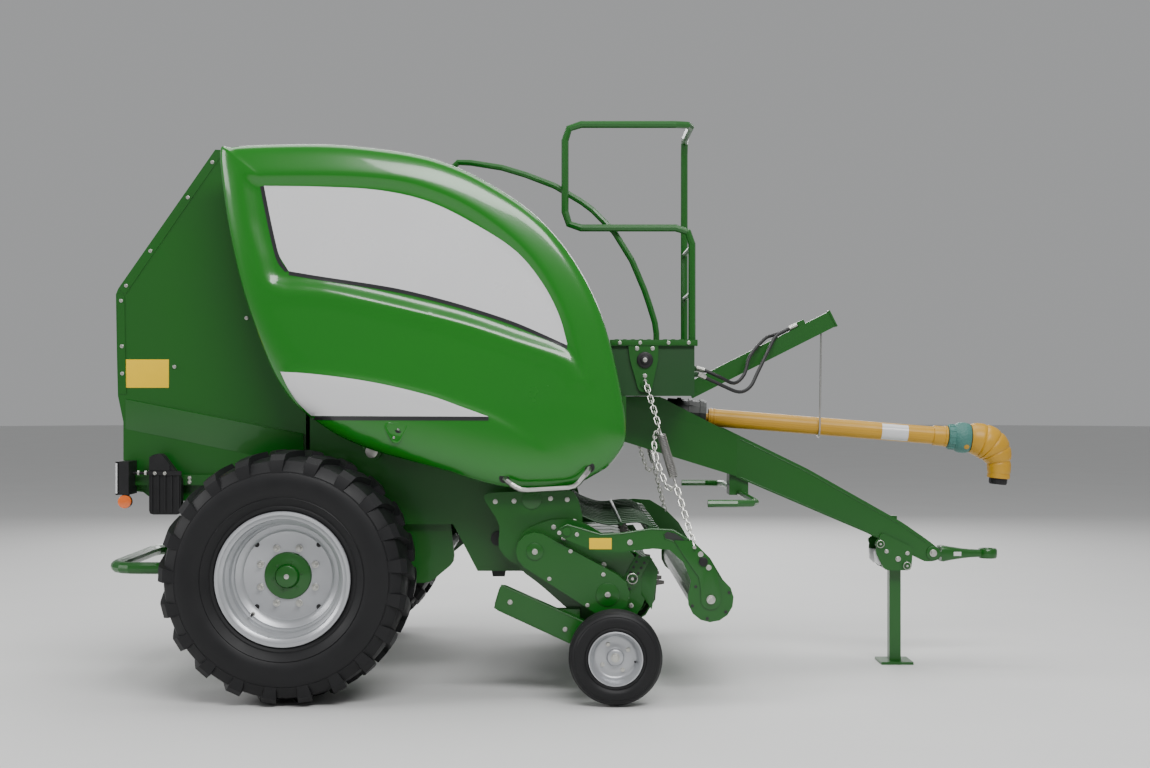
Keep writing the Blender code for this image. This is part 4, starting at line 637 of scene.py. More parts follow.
def laid_patch(piece, side, upper, lower, proud, mat, columns=64, rows=14):
    """A thin film over the cover between two runs in XZ, following its face."""
    grid = []
    for i in range(columns + 1):
        high = run_share(upper, i / columns)
        low = run_share(lower, i / columns)
        column = []
        for k in range(rows + 1):
            place = low + (high - low) * (k / rows)
            column.append(at(place.x, side * (cover_depth(place) + proud), place.y))
        grid.append(column)
    outer = [[piece.work.verts.new(p) for p in column] for column in grid]
    back = [[piece.work.verts.new(p - Y * side * 0.0012) for p in column] for column in grid]
    first = len(piece.work.faces)
    for sheet in (outer, back):
        for low, high in zip(sheet, sheet[1:]):
            for k in range(rows):
                piece.face((low[k], high[k], high[k + 1], low[k + 1]), mat)
    rim = [(i, 0) for i in range(columns)] + [(columns, k) for k in range(rows)]
    rim += [(i, rows) for i in range(columns, 0, -1)] + [(0, k) for k in range(rows, 0, -1)]
    for n in range(len(rim)):
        (i, k), (j, m) = rim[n], rim[(n + 1) % len(rim)]
        piece.face((outer[i][k], outer[j][m], back[j][m], back[i][k]), mat)
    piece.work.faces.ensure_lookup_table()
    bmesh.ops.recalc_face_normals(piece.work, faces=piece.work.faces[first:])


def run_share(run, share):
    """The point at a share of a run's length."""
    spans = [(b - a).length for a, b in zip(run, run[1:])]
    walk = share * sum(spans)
    for a, b, span in zip(run, run[1:], spans):
        if walk <= span or b is run[-1]:
            return a.lerp(b, min(1.0, walk / max(span, 1e-9)))
        walk -= span
    return run[-1]


def cover_decals(side, tag):
    """Blank films on the cover: the large one in the window, the small one below, black strips."""
    top = smooth_run(DECAL_TOP, 5)
    low = smooth_run(DECAL_LOW, 5)
    rear = smooth_run(DECAL_REAR, 5)
    films = Piece("cover_films_" + tag, WHITE, DECAL_BLACK)
    corner = len(rear) - 6
    laid_patch(films, side, top, rear[:corner] + low, 0.0022, 0, columns=72, rows=18)
    laid_patch(films, side, low, [p - Z.xz * STRIP for p in low], 0.002, 1, 60, 2)
    laid_patch(films, side, rear, [p + Vector((-STRIP, -0.003)) for p in rear], 0.002, 1, 24, 2)
    name_top = smooth_run(NAME_TOP, 5)
    name_low = [Vector((0.089, NAME_BASE_Z)), Vector((0.93, NAME_BASE_Z - 0.001))]
    name_rear = smooth_run([(-0.052, 1.534), (-0.02, 1.465), (0.024, 1.395),
                            (0.089, NAME_BASE_Z + 0.002)], 4)
    laid_patch(films, side, name_top, name_rear + name_low[1:], 0.0022, 0, columns=56, rows=10)
    laid_patch(films, side, name_low, [p - Z.xz * STRIP for p in name_low], 0.002, 1, 40, 2)
    films.done("side_cover_" + tag, "cover_green", angle=60)


def cover_latch(side, tag):
    """Rounded-triangle plate with the latch's shank and screw, and the grab handle's boots."""
    latch = Piece("cover_latch_" + tag, COVER_GREEN, BLACK, STEEL)
    centre = Vector((0.494, 1.252))
    corners = [(-0.046, 0.036), (0.046, 0.036), (0.0, -0.044)]
    run = []
    for k, (x, z) in enumerate(corners):
        start = (135, 45, -90)[k] + 60
        run += circle_run((centre.x + x * 0.62, centre.y + z * 0.62), 0.022, 7, start, -120)
    face = cover_depth(centre)
    rings = []
    for grow, out in ((1.12, -0.004), (1.1, 0.003), (1.0, 0.005), (0.88, 0.0035), (0.8, -0.002)):
        grown = [centre + (Vector(place) - centre) * grow for place in run]
        rings.append([at(x, side * (face + out), z) for x, z in grown])
    latch.loft(rings)
    way = Y * side
    hole = at(centre.x + 0.012, side * (face - 0.001), centre.y + 0.012)
    latch.disc(hole, way, 0.017, 0.0022, 1, 28)
    latch.bolt(hole + way * 0.001, way, 0.006, 2, washer=False)
    latch.disc(at(centre.x - 0.01, side * (face - 0.001), centre.y - 0.026), way, 0.006, 0.004, 2, 20)
    for x, z in ((1.003, 1.035), (1.405, 1.085)):
        latch.disc(at(x, side * (cover_depth((x, z)) - 0.004), z), way, 0.024, 0.007, 1, 28)
    latch.done("side_cover_" + tag, "cover_green")


def paint_node(node, material):
    """Give a CAD node a material in every slot."""
    obj = NODES[node]
    if not obj.material_slots:
        obj.data.materials.append(material)
    for slot in obj.material_slots:
        slot.material = material


# ------------------------------------------------------------------ wheels
LUGS = 21
LUG_DEPTH = 0.026
SLACK = 0.0005           # how far the tyre stays inside its CAD node's box
RIM_BEAD = 0.2043        # half width between a road rim's bead seats


def around(centre, radius, degrees, aside=0.0):
    """A place on a circle about a wheel's axis, shifted along the axis."""
    a = math.radians(degrees)
    return centre + Vector((radius * math.cos(a), aside, radius * math.sin(a)))


def tyre_profile(base, half):
    """Section of the road tyre's casing, outside and inside."""
    wall = [(0.2838, 0.2045), (0.312, 0.2045), (0.318, 0.212), (0.33, 0.217), (0.337, 0.215), (0.35, 0.226),
            (0.372, 0.239), (0.376, 0.236), (0.38, 0.239), (0.41, half - 0.002), (0.44, half),
            (0.47, half - 0.003), (0.486, half - 0.009), (0.49, half - 0.014), (0.494, half - 0.013),
            (0.52, 0.222), (base - 0.018, 0.203), (base - 0.006, 0.165), (base - 0.001, 0.095), (base, 0.0)]
    inner = [(0.2838, 0.185), (0.33, 0.195), (0.42, 0.222), (0.5, 0.2), (0.53, 0.14), (0.532, 0.0)]
    profile = wall + [(r, -h) for r, h in reversed(wall[:-1])]
    return profile + [(r, -h) for r, h in inner] + list(reversed(inner[:-1]))


def make_tyre(side, tag):
    """Road tyre: lathed casing with ribbed walls, and two rows of bent shoulder lugs."""
    node = "wheel_tyre_" + tag
    low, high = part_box(node)
    outer = (high[0] - low[0]) / 2 - SLACK
    half = (high[1] - low[1]) / 2 - SLACK
    centre = middle_of(node)
    tyre = Piece("tyre_" + tag, RUBBER)
    base = outer - LUG_DEPTH
    tyre.lathe(tyre_profile(base, half), centre, Y * side, steps=120)
    stations = [
        # height top, radius top, height base, radius base, turn, half width
        (0.012, outer, 0.012, base - 0.006, 0.0, 0.03),
        (0.085, outer - 0.001, 0.085, base - 0.006, 0.045, 0.032),
        (0.15, outer - 0.005, 0.145, base - 0.012, 0.085, 0.036),
        (0.2, outer - 0.014, 0.18, base - 0.03, 0.108, 0.04),
        (0.228, outer - 0.04, 0.2, base - 0.06, 0.116, 0.04),
        (0.238, outer - 0.078, 0.215, base - 0.085, 0.12, 0.036),
        (0.2375, outer - 0.1, 0.222, base - 0.095, 0.121, 0.034),
    ]
    for hand in (1, -1):
        for k in range(LUGS):
            start = 2 * math.pi * (k + (0.5 if hand < 0 else 0.0)) / LUGS
            rings = []
            for h_top, r_top, h_low, r_low, turn, width in stations:
                corners = ((h_low, r_low, 1.12), (h_top, r_top, 0.86),
                           (h_top, r_top, -0.86), (h_low, r_low, -1.12))
                rings.append([around(centre, r, math.degrees(start + turn + share * width / outer),
                                     side * hand * h) for h, r, share in corners])
            tyre.loft(rings)
    tyre.done("wheel_" + tag, "tyre_black", [node], angle=28)


def make_rim(side, tag):
    """Silver rim with its stepped barrel and dished disc, its studs and its valve."""
    centre = middle_of("wheel_tyre_" + tag)
    way = Y * side
    rim = Piece("rim_" + tag, SILVER, ZINC, BLACK)
    bead = RIM_BEAD
    lip = bead + 0.017
    profile = [
        (0.311, lip - 0.003), (0.311, bead), (0.283, bead), (0.283, -bead), (0.311, -bead), (0.311, -lip),
        (0.3, -lip), (0.277, -bead - 0.002), (0.262, -bead + 0.02), (0.262, 0.04), (0.24, 0.04),
        (0.222, 0.045), (0.1105, 0.045), (0.1105, 0.06), (0.19, 0.06), (0.206, 0.064), (0.214, 0.074),
        (0.226, 0.082), (0.24, 0.09), (0.244, 0.108), (0.252, 0.116), (0.256, 0.16), (0.262, 0.168),
        (0.27, 0.176), (0.275, bead), (0.288, lip - 0.009), (0.294, lip - 0.001), (0.303, lip + 0.0015),
        (0.3085, lip),
    ]
    rim.lathe(profile, centre, way, steps=96)
    for k in range(8):
        spot = around(centre, 0.1375, 45 * k + 22.5, side * 0.06)
        rim.disc(spot, way, 0.019, 0.003, 0, 28)
        rim.bolt(spot + way * 0.003, way, 0.0135, 1, turn=0.4 * k)
        rim.disc(spot + way * 0.01, way, 0.0075, 0.022, 1, 20)
    valve = around(centre, 0.236, 228, side * 0.085)
    rim.disc(valve, way, 0.0105, 0.006, 1, 20)
    rim.disc(valve, way, 0.005, 0.034, 2, 16)
    # four thin black discs on the dished disc: painted shade standing in for its open holes
    for k in range(4):
        rim.disc(around(centre, 0.204, 45 + 90 * k, side * 0.0645), way, 0.012, 0.0015, 2, 24)
    rim.done("wheel_" + tag, "rim_silver", ["wheel_rim_" + tag], angle=30)


def make_hub(side, tag):
    """Green hub with a turned cap, a grease cap and its screws."""
    centre = middle_of("wheel_tyre_" + tag)
    way = Y * side
    hub = Piece("hub_" + tag, GREEN, ZINC)
    profile = [
        (0.0, 0.1045), (0.044, 0.1045), (0.049, 0.102), (0.053, 0.094), (0.058, 0.082), (0.076, 0.0795),
        (0.084, 0.076), (0.098, 0.0755), (0.106, 0.073), (0.1098, 0.066), (0.1098, 0.0447), (0.164, 0.0447),
        (0.165, 0.043), (0.165, 0.022), (0.085, 0.022), (0.085, -0.095), (0.0355, -0.095), (0.0355, 0.05),
        (0.0, 0.05),
    ]
    hub.lathe(profile, centre, way, steps=72, loop=False)
    for k in range(6):
        hub.bolt(around(centre, 0.068, 60 * k + 12, side * 0.0805), way, 0.0058, 0, turn=0.5 * k)
    hub.disc(centre + way * 0.1045, way, 0.012, 0.004, 1, 24)
    hub.done("wheel_" + tag, "machine_green", ["wheel_hub_" + tag], angle=30)


def make_gauge_wheel(side, tag):
    """Small pneumatic wheel of the pickup: ribbed tyre on a silver disc."""
    node = "gauge_tyre_" + tag
    low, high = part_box(node)
    centre = middle_of(node)
    way = Y * side
    outer = (high[0] - low[0]) / 2 - 0.0003
    half = (high[1] - low[1]) / 2 - 0.0003
    bead = 0.065
    rubber = Piece("gauge_rubber_" + tag, RUBBER)
    outside = [(0.1186, bead), (0.126, bead), (0.131, 0.07), (0.138, 0.0705), (0.141, 0.0685),
               (0.144, 0.0715), (0.158, half - 0.001), (0.172, half), (0.186, half - 0.004),
               (0.19, half - 0.008), (0.194, half - 0.008), (0.203, 0.066), (outer - 0.004, 0.052)]
    groove = outer - 0.007
    outside += [(outer, 0.046), (outer, 0.037), (groove, 0.0345), (groove, 0.0285), (outer, 0.026),
                (outer, 0.013), (groove, 0.0105), (groove, 0.0045), (outer, 0.002)]
    profile = outside + [(r, -h) for r, h in reversed(outside)]
    profile += [(0.1186, -0.055), (0.15, -0.064), (0.195, -0.05), (0.195, 0.05), (0.15, 0.064),
                (0.1186, 0.055)]
    rubber.lathe(profile, centre, way, steps=84)
    rubber.done("gauge_wheel_" + tag, "tyre_black", [node], angle=28)
    rim = Piece("gauge_disc_" + tag, SILVER, ZINC, BLACK)
    lip = bead + 0.004
    mouth = 0.115
    profile = [
        (0.125, lip), (0.125, bead), (0.118, bead), (0.118, -bead), (0.125, -bead), (0.125, -lip),
        (mouth, -lip),
        (0.106, -0.008), (0.04, -0.008), (0.03, -0.055), (0.0131, -0.055), (0.0131, 0.03), (0.028, 0.03),
        (0.036, 0.026), (0.041, 0.01), (0.052, 0.006), (0.088, 0.006), (0.096, 0.01), (0.104, 0.022),
        (0.108, 0.045), (mouth, lip - 0.006), (0.119, lip + 0.002),
    ]
    rim.lathe(profile, centre, way, steps=72)
    for k in range(4):
        rim.bolt(around(centre, 0.068, 90 * k + 30, side * 0.006), way, 0.0085, 1, turn=0.3 * k)
    rim.bolt(centre + way * 0.03, way, 0.017, 1)
    rim.disc(centre + Vector((0.09, side * 0.008, -0.02)), way, 0.004, 0.022, 2, 14)
    rim.done("gauge_wheel_" + tag, "rim_silver", ["gauge_rim_" + tag], angle=30)


# ------------------------------------------------------------------ node finishes
def paint_nodes():
    """A material for every CAD node that stays."""
    finishes = {
        GREEN: ("axle", "bumper", "chamber_front", "chassis", "crop_guard", "crop_roller", "drawbar",
                "guard_bar", "guide_rail", "handrail", "hose_arm", "jack_housing", "jack_leg",
                "pickup_carrier", "pickup_frame", "platform", "tailgate", "ram_barrel_r", "ram_barrel_l"),
        DARK_GREEN: ("net_box",),
        DARK: ("gearbox", "feed_rotor"),
        BLACK: ("rear_lamp_r", "rear_lamp_l", "wheel_chock_r", "wheel_chock_l"),
        STEEL: ("ram_rod_r", "ram_rod_l", "shaft_hanger", "cover_handle_r", "cover_handle_l"),
        WORN: ("pickup_reel",),
        YELLOW: ("pto_shaft",),
    }
    for material, nodes in finishes.items():
        for node in nodes:
            paint_node(node, material)


# ------------------------------------------------------------------ details on one side
class SidePiece(Piece):
    """Details set down on one of the machine's upright faces, right or left."""

    def __init__(self, name, side, face, *materials):
        super().__init__(name, *materials)
        self.side = side
        self.face_y = face
        self.way = Y * side

    def on(self, x, z, out=0.0):
        """A place at a distance out from the face."""
        return at(x, self.side * (self.face_y + out), z)

    def bolts(self, places, size, out=0.0, by_x=0, by_z=0, mat=1):
        """Hexagon heads at places in XZ, turned by where they are when by_x or by_z is given, else all
        turned alike.
        """
        for x, z in places:
            turn = x * by_x + z * by_z if by_x or by_z else 0.3
            self.bolt(self.on(x, z, out), self.way, size, mat, turn=turn)

    def post(self, x, z, radius, height, mat=0, steps=32, edge=0.0015, out=0.0):
        """A round post that stands out from the face."""
        self.disc(self.on(x, z, out), self.way, radius, height, mat, steps, edge)

    def pin(self, x, z, start, end, radius, sides, mat=1):
        """A straight pin across the face."""
        self.tube([self.on(x, z, start), self.on(x, z, end)], radius, sides, mat)

    def bead(self, run, radius, out=0.0, mat=0, closed=False):
        """A thin round bead along a run of places in XZ."""
        self.tube([self.on(x, z, out) for x, z in run], radius, 8, mat, closed)

    def plate(self, outline, thick, mat=0, bevel=0.0015):
        """A plate of any outline, flat on the face."""
        face = self.side * self.face_y
        self.slab(outline, face, face + self.side * thick, mat, bevel)

    def block(self, low, high, mat=0, bevel=0.0015):
        """A box between two corners whose Y is measured outwards from the machine's middle."""
        (x0, y0, z0), (x1, y1, z1) = low, high
        y0, y1 = sorted((self.side * y0, self.side * y1))
        self.box((x0, y0, z0), (x1, y1, z1), mat, bevel)

    def pad(self, x0, z0, x1, z1, thick, mat=0, bevel=0.0015):
        """A rectangular plate, flat on the face."""
        self.plate([(x0, z0), (x1, z0), (x1, z1), (x0, z1)], thick, mat, bevel)


def make_tailgate_trim(side, tag):
    """Edge strips, the pressed fold, bolts and the blank plate on one tailgate side."""
    trim = SidePiece("tailgate_trim_" + tag, side, 0.6582, GREEN, ZINC, PLATE_YELLOW)
    trim.plate([(-0.43, 2.622), (-0.9, 1.942), (-0.872, 1.921), (-0.392, 2.616)], 0.003)
    trim.plate([(-0.912, 1.925), (-0.907, 1.63), (-0.902, 1.43), (-0.868, 1.43), (-0.873, 1.63),
                (-0.877, 1.912)], 0.003)
    fold = []
    for x, top, low in ((-0.872, 1.404, 1.262), (-0.6, 1.35, 1.206), (-0.3, 1.291, 1.144),
                        (0.005, 1.232, 1.082)):
        out = 0.016 * smoothstep(-0.9, -0.7, x) + 0.002
        section = ((top + 0.004, 0.0002), (top, out), (top - 0.006, out * 0.92), (low, 0.0012),
                   (low - 0.003, 0.0002))
        fold.append([trim.on(x, z, height) for z, height in section])
    trim.loft(fold)
    trim.bolts([(-0.445, 2.57), (-0.565, 2.397), (-0.75, 2.134), (-0.869, 1.963), (-0.8936, 1.889),
                (-0.8897, 1.665), (-0.8882, 1.531), (-0.6314, 1.564), (-0.2767, 1.804)],
               0.0075, 0.003, by_x=9)
    trim.pad(-0.87, 1.461, -0.659, 1.6, 0.0014, 2, bevel=0.0004)
    trim.done("tailgate", "machine_green")


def make_tailgate_back():
    """Stiffening ribs, bolts and the black grip on the tailgate's bent rear sheet."""
    back = Piece("tailgate_back", GREEN, ZINC, BLACK)
    top, low = Vector((-0.431, 2.63)), Vector((-0.909, 1.945))
    along = (top - low).normalized()
    out = Vector((-along.y, along.x))
    half = 0.035
    for y in (-0.42, 0.0, 0.42):
        pairs = []
        for share, lift in ((0.06, 0.0), (0.1, 0.01), (0.9, 0.01), (0.94, 0.0)):
            point = low.lerp(top, share) + out * lift
            pairs.append((at(point.x, y - half, point.y), at(point.x, y + half, point.y)))
        back.prism(pairs, 0, 0.002)
        back.box((-0.9225, y - half, 1.5), (-0.912, y + half, 1.9), 0, 0.003)
    for y in (-0.6, -0.2, 0.2, 0.6):
        for share in (0.08, 0.92):
            point = low.lerp(top, share)
            back.bolt(at(point.x, y, point.y), Vector((out.x, 0, out.y)), 0.008, 1)
    back.box((-0.935, -0.09, 1.26), (-0.885, 0.09, 1.3), 2, 0.006)
    back.done("tailgate", "machine_green")


def make_lamps(side, tag):
    """Lamp lenses and rim, the round side marker, and the chock's holder with its rod."""
    lamp = SidePiece("lamp_details_" + tag, side, 0.7603, BLACK, RED, AMBER, WHITE, ZINC)
    rear, inner, outer, rod_y = -0.8655, 0.68, 0.83, side * 0.745
    for z0, z1, mat in ((0.955, 1.02, 1), (1.024, 1.062, 2), (1.066, 1.096, 1)):
        lamp.block((rear - 0.006, inner + 0.01, z0), (rear, outer - 0.01, z1), mat, 0.003)
    for y0, y1, z0, z1 in ((inner, outer, 0.945, 0.952), (inner, outer, 1.098, 1.105),
                           (inner, inner + 0.007, 0.945, 1.105), (outer - 0.007, outer, 0.945, 1.105)):
        lamp.block((rear - 0.008, y0, z0), (rear + 0.006, y1, z1), 3, 0.002)
    marker = at(-0.832, side * 0.8, 0.912)
    lamp.disc(marker, lamp.way, 0.033, 0.016, 0, 32, 0.003)
    lamp.disc(marker + lamp.way * 0.016, lamp.way, 0.0325, 0.012, 2, 32, 0.006)
    lamp.block((-0.85, 0.794, 0.92), (-0.815, 0.798, 0.95), 0, 0.0008)
    lamp.tube([at(-0.812, rod_y, 1.046), at(-0.64, rod_y, 1.046)], 0.007, 14, 0)
    for x in (-0.79, -0.755, -0.735):
        lamp.tube([at(x, rod_y, 1.046), at(x + 0.01, rod_y, 1.046)], 0.0125, 6, 4)
    rim = [(-0.728, 1.058), (-0.728, 1.126), (-0.672, 1.141), (-0.628, 1.086), (-0.628, 1.058)]
    lamp.plate(rim, 0.006, 0, 0.003)
    for x in (-0.722, -0.69, -0.658, -0.626, -0.592):
        lamp.pad(x, 0.855, x + 0.01, 1.035, 0.006, 0, 0.002)
    lamp.pad(-0.732, 1.036, -0.572, 1.056, 0.009, 0, 0.003)
    lamp.bolts([(-0.545, 1.02), (-0.545, 1.0)], 0.008, -0.0498, mat=4)
    lamp.bolts([(-0.652, 1.046), (-0.7, 1.046)], 0.007, 0.0087, mat=4)
    lamp.done("frame", "black_plastic")


# ------------------------------------------------------------------ drive shaft
SHAFT_WAY = Vector((1, 0, -0.08)).normalized()
SHAFT_UP = Vector((-SHAFT_WAY.z, 0, SHAFT_WAY.x))


def shaft_point(distance):
    """A point along the drive shaft's middle line."""
    return at(2.032, 0, 1.306) + SHAFT_WAY * distance


def shaft_side(a):
    """The direction square to the shaft at an angle from the machine's left."""
    return Y * math.cos(a) + SHAFT_UP * math.sin(a)


def make_sleeve():
    """End rings and blank label on the drive shaft's guard tube."""
    sleeve = Piece("shaft_sleeve", YELLOW, WHITE)
    sleeve.lathe([(0.0472, 0.0), (0.052, 0.002), (0.053, 0.006), (0.053, 0.06), (0.056, 0.062),
                  (0.056, 0.074), (0.05, 0.078), (0.0472, 0.078)], shaft_point(1.222), SHAFT_WAY, 48, 0)
    for start in (0.03, 0.048):
        sleeve.lathe([(0.0472, 0.0), (0.05, 0.001), (0.05, 0.008), (0.0472, 0.009)],
                     shaft_point(start), SHAFT_WAY, 48, 0)
    rings = []
    for distance in (0.945, 1.085):
        ring = []
        for radius, swing in ((0.0476, 1), (0.0471, -1)):
            for k in range(17):
                a = math.radians(-90 + swing * (-62 + 124 * k / 16))
                ring.append(shaft_point(distance) + (Y * math.sin(a) + SHAFT_UP * math.cos(a)) * radius)
        rings.append(ring)
    sleeve.loft(rings, 1)
    sleeve.done("drive_shaft", "shaft_yellow")


def make_collar():
    """The quick-release collar in its mesh cover, with ribs and two buttons."""
    collar = Piece("shaft_collar", TEAL, YELLOW)
    profile = [(0.0, 0.0005), (0.06, 0.0005), (0.064, 0.004), (0.065, 0.012), (0.065, 0.034),
               (0.07, 0.04), (0.076, 0.05), (0.081, 0.064), (0.0818, 0.09), (0.079, 0.106),
               (0.074, 0.116), (0.0, 0.1195)]
    collar.lathe(profile, shaft_point(1.3003), SHAFT_WAY, 64, 0, loop=False)
    for k in range(12):
        way = shaft_side(2 * math.pi * k / 12)
        collar.tube([shaft_point(1.306) + way * 0.0645, shaft_point(1.336) + way * 0.0655], 0.0032, 8, 0)
    for degrees in (215, 35):
        way = shaft_side(math.radians(degrees))
        collar.disc(shaft_point(1.392) + way * 0.079, way, 0.014, 0.005, 1, 24)
    collar.done("drive_shaft", "collar_teal", ["pto_collar"])


def make_end_guard():
    """The ribbed bellows that bends down at the shaft's tip, with the black coupling in its mouth."""
    start = shaft_point(1.43)
    knee = start + Vector((0.165, 0, -0.012))
    tip = start + Vector((0.145, 0, -0.2))
    path, radii = [shaft_point(1.4207)], [0.0745]
    for k in range(61):
        t = k / 60
        path.append(start.lerp(knee, t).lerp(knee.lerp(tip, t), t))
        swell = 0.08 + 0.02 * math.sin(math.pi * min(1.0, t * 1.25)) - 0.022 * t
        ridge = abs(math.sin(math.pi * (t * 5.0 + 0.08)))
        radii.append(swell - 0.006 * (1 - ridge) ** 3 + 0.0015)
    guard = Piece("shaft_end_guard", YELLOW, BLACK)
    guard.tube(path, radii, 56, 0)
    end = path[-1]
    down = (end - path[-2]).normalized()
    cap = [(0.0, -0.012), (0.0585, -0.012), (0.06, 0.004), (0.0585, 0.012), (0.0, 0.012)]
    guard.lathe(cap, end, down, 48, 0, loop=False)
    mouth = [(0.0, 0.012), (0.0465, 0.012), (0.0465, 0.038), (0.044, 0.0445), (0.036, 0.0445),
             (0.034, 0.03), (0.0, 0.03)]
    guard.lathe(mouth, end, down, 48, 1, loop=False)
    for k in range(16):
        a = 2 * math.pi * k / 16
        rib = end + (Y * math.cos(a) + down.cross(Y) * math.sin(a)) * 0.0462
        guard.tube([rib + down * 0.014, rib + down * 0.036], 0.0016, 6, 1)
    guard.done("drive_shaft", "shaft_yellow", ["pto_end_guard"], angle=40)


# ------------------------------------------------------------------ chains and relief springs
def chain_links(piece, run, pitch, wire, mat):
    """Links of round wire along a run of points, each turned a quarter from the last."""
    spans = [(b - a).length for a, b in zip(run, run[1:])]
    count = max(2, round(sum(spans) / pitch))
    path = [run_share(run, k / count) for k in range(count + 1)]
    for k, (a, b) in enumerate(zip(path, path[1:])):
        way = (b - a).normalized()
        side = way.cross(Y).normalized()
        side = side if k % 2 else way.cross(side).normalized()
        middle = (a + b) / 2
        half = pitch * 0.5 + wire * 0.9
        width = wire * 1.55
        loop = []
        for j in range(16):
            turn = 2 * math.pi * j / 16
            stretch = half - width if math.cos(turn) > 0 else width - half
            loop.append(middle + way * (stretch + width * math.cos(turn)) + side * width * math.sin(turn))
        piece.tube(loop, wire / 2, 7, mat, closed=True)


def make_chains(side, tag):
    """Relief chain from the platform bracket to the crop guard, with its spring and slack loop."""
    top = at(1.684, side * 0.655, 1.497)
    low = at(1.8963, side * 1.028, 0.7114)
    chain = Piece("relief_chain_" + tag, ZINC, STEEL)
    pitch = 0.03
    spring_top, spring_low = top.lerp(low, 0.335), top.lerp(low, 0.59)
    chain_links(chain, [top, top.lerp(low, 0.3)], pitch, 0.0075, 0)
    chain_links(chain, [top.lerp(low, 0.625), low], pitch, 0.0075, 0)
    way = (low - top).normalized()
    across = way.orthogonal().normalized()
    over = way.cross(across)
    turns, steps = 26, 12
    coil = []
    for k in range(turns * steps + 1):
        a = 2 * math.pi * k / steps
        centre = spring_top.lerp(spring_low, k / (turns * steps))
        coil.append(centre + (across * math.cos(a) + over * math.sin(a)) * 0.0185)
    chain.tube(coil, 0.0038, 6, 1)
    for link, near, far in ((0.298, spring_top, spring_low), (0.628, spring_low, spring_top)):
        cone = [top.lerp(low, link), near, near.lerp(far, 0.06)]
        chain.tube(cone, [0.006, 0.006, 0.016], 16, 1)
    slack = [top.lerp(low, share) + Vector((x, 0, z)) for share, x, z in (
        (0.29, 0, 0), (0.36, -0.0405, -0.0072), (0.47, -0.054, -0.0096), (0.57, -0.0495, -0.0088),
        (0.64, -0.036, -0.0184), (0.632, -0.004, -0.004))]
    chain_links(chain, smooth_run(slack, 5), pitch, 0.0065, 0)
    for place in (top, low):
        chain.tube([place - Y * 0.016, place + Y * 0.016], 0.0055, 12, 0)
    piece = chain.done("frame", "bare_steel", angle=50)
    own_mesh(piece)


# ------------------------------------------------------------------ pickup, crop guard
def make_guard_trim(side, tag):
    """What is bolted to one arm of the crop guard: end lobe, pins, slot of painted shade, blank plate."""
    trim = SidePiece("guard_trim_" + tag, side, 1.0202, GREEN, ZINC, BLACK, PLATE_YELLOW, DARK)
    roller = (1.973, 0.468)
    lobe = [(1.8, 0.745), (1.858, 0.655), (1.915, 0.575), (1.925, 0.52)]
    lobe += circle_run(roller, 0.047, 14, 170, 200)
    lobe += [(2.018, 0.52), (1.998, 0.6), (1.96, 0.668), (1.885, 0.742)]
    trim.plate(lobe, 0.008, 0, 0.002)
    for x, z in circle_run(roller, 0.092, 6, 20):
        if z < roller[1] + 0.06:
            trim.post(x, z, 0.0075, 0.003, 4, 18, 0.0008)
    trim.bolts([(1.925, 0.68), (1.963, 0.6175)], 0.0105, 0.008, by_x=7)
    trim.post(1.937, 0.645, 0.021, 0.009, 2, 28, 0.003, out=0.008)
    trim.bolts([(1.594, 0.735)], 0.0105)
    trim.bolts([(1.8963, 0.7114)], 0.0095)
    # the slot is a thin dark plate, painted shade standing in for the opening, ringed by a bead
    slot = [(1.752, 0.774), (1.77, 0.788), (1.812, 0.778), (1.85, 0.748), (1.846, 0.728), (1.826, 0.726),
            (1.79, 0.744), (1.758, 0.752)]
    trim.plate(slot, 0.0012, 4, 0.0004)
    trim.bead(slot, 0.0024, 0.001, closed=True)
    trim.pad(1.403, 0.703, 1.508, 0.755, 0.0014, 3, bevel=0.0004)
    trim.bolts([(1.262, 0.78), (1.345, 0.772)], 0.008)
    edge = [(1.262, 0.797), (1.3, 0.818), (1.458, 0.771), (1.553, 0.776), (1.6975, 0.798), (1.797, 0.792),
            (1.889, 0.736), (1.968, 0.657), (2.026, 0.56)]
    trim.bead(edge, 0.0026, 0.001)
    trim.done("crop_guard", "machine_green")
    nut = SidePiece("roller_nut_" + tag, side, 1.032, ZINC)
    nut.post(*roller, 0.021, 0.004, 0, 28)
    nut.bolt(nut.on(*roller, 0.004), nut.way, 0.015, 0, washer=False)
    nut.done("crop_roller", "bare_steel")


def make_guard_comb():
    """Curved tines of the crop guard, hung behind its cross tube."""
    comb = Piece("guard_comb", DARK_GREEN)
    tine = ((1.715, 0.786), (1.64, 0.812), (1.5, 0.8), (1.395, 0.83), (1.33, 0.868))
    for k in range(15):
        y = -0.77 + 0.11 * k
        comb.tube(smooth_run([at(x, y, z) for x, z in tine], 4), 0.0055, 8, 0)
        comb.box((1.69, y - 0.012, 0.778), (1.74, y + 0.012, 0.79), 0, 0.002)
    comb.tube([at(1.56, -0.8, 0.803), at(1.56, 0.8, 0.803)], 0.009, 12, 0)
    comb.done("crop_guard", "machine_green")


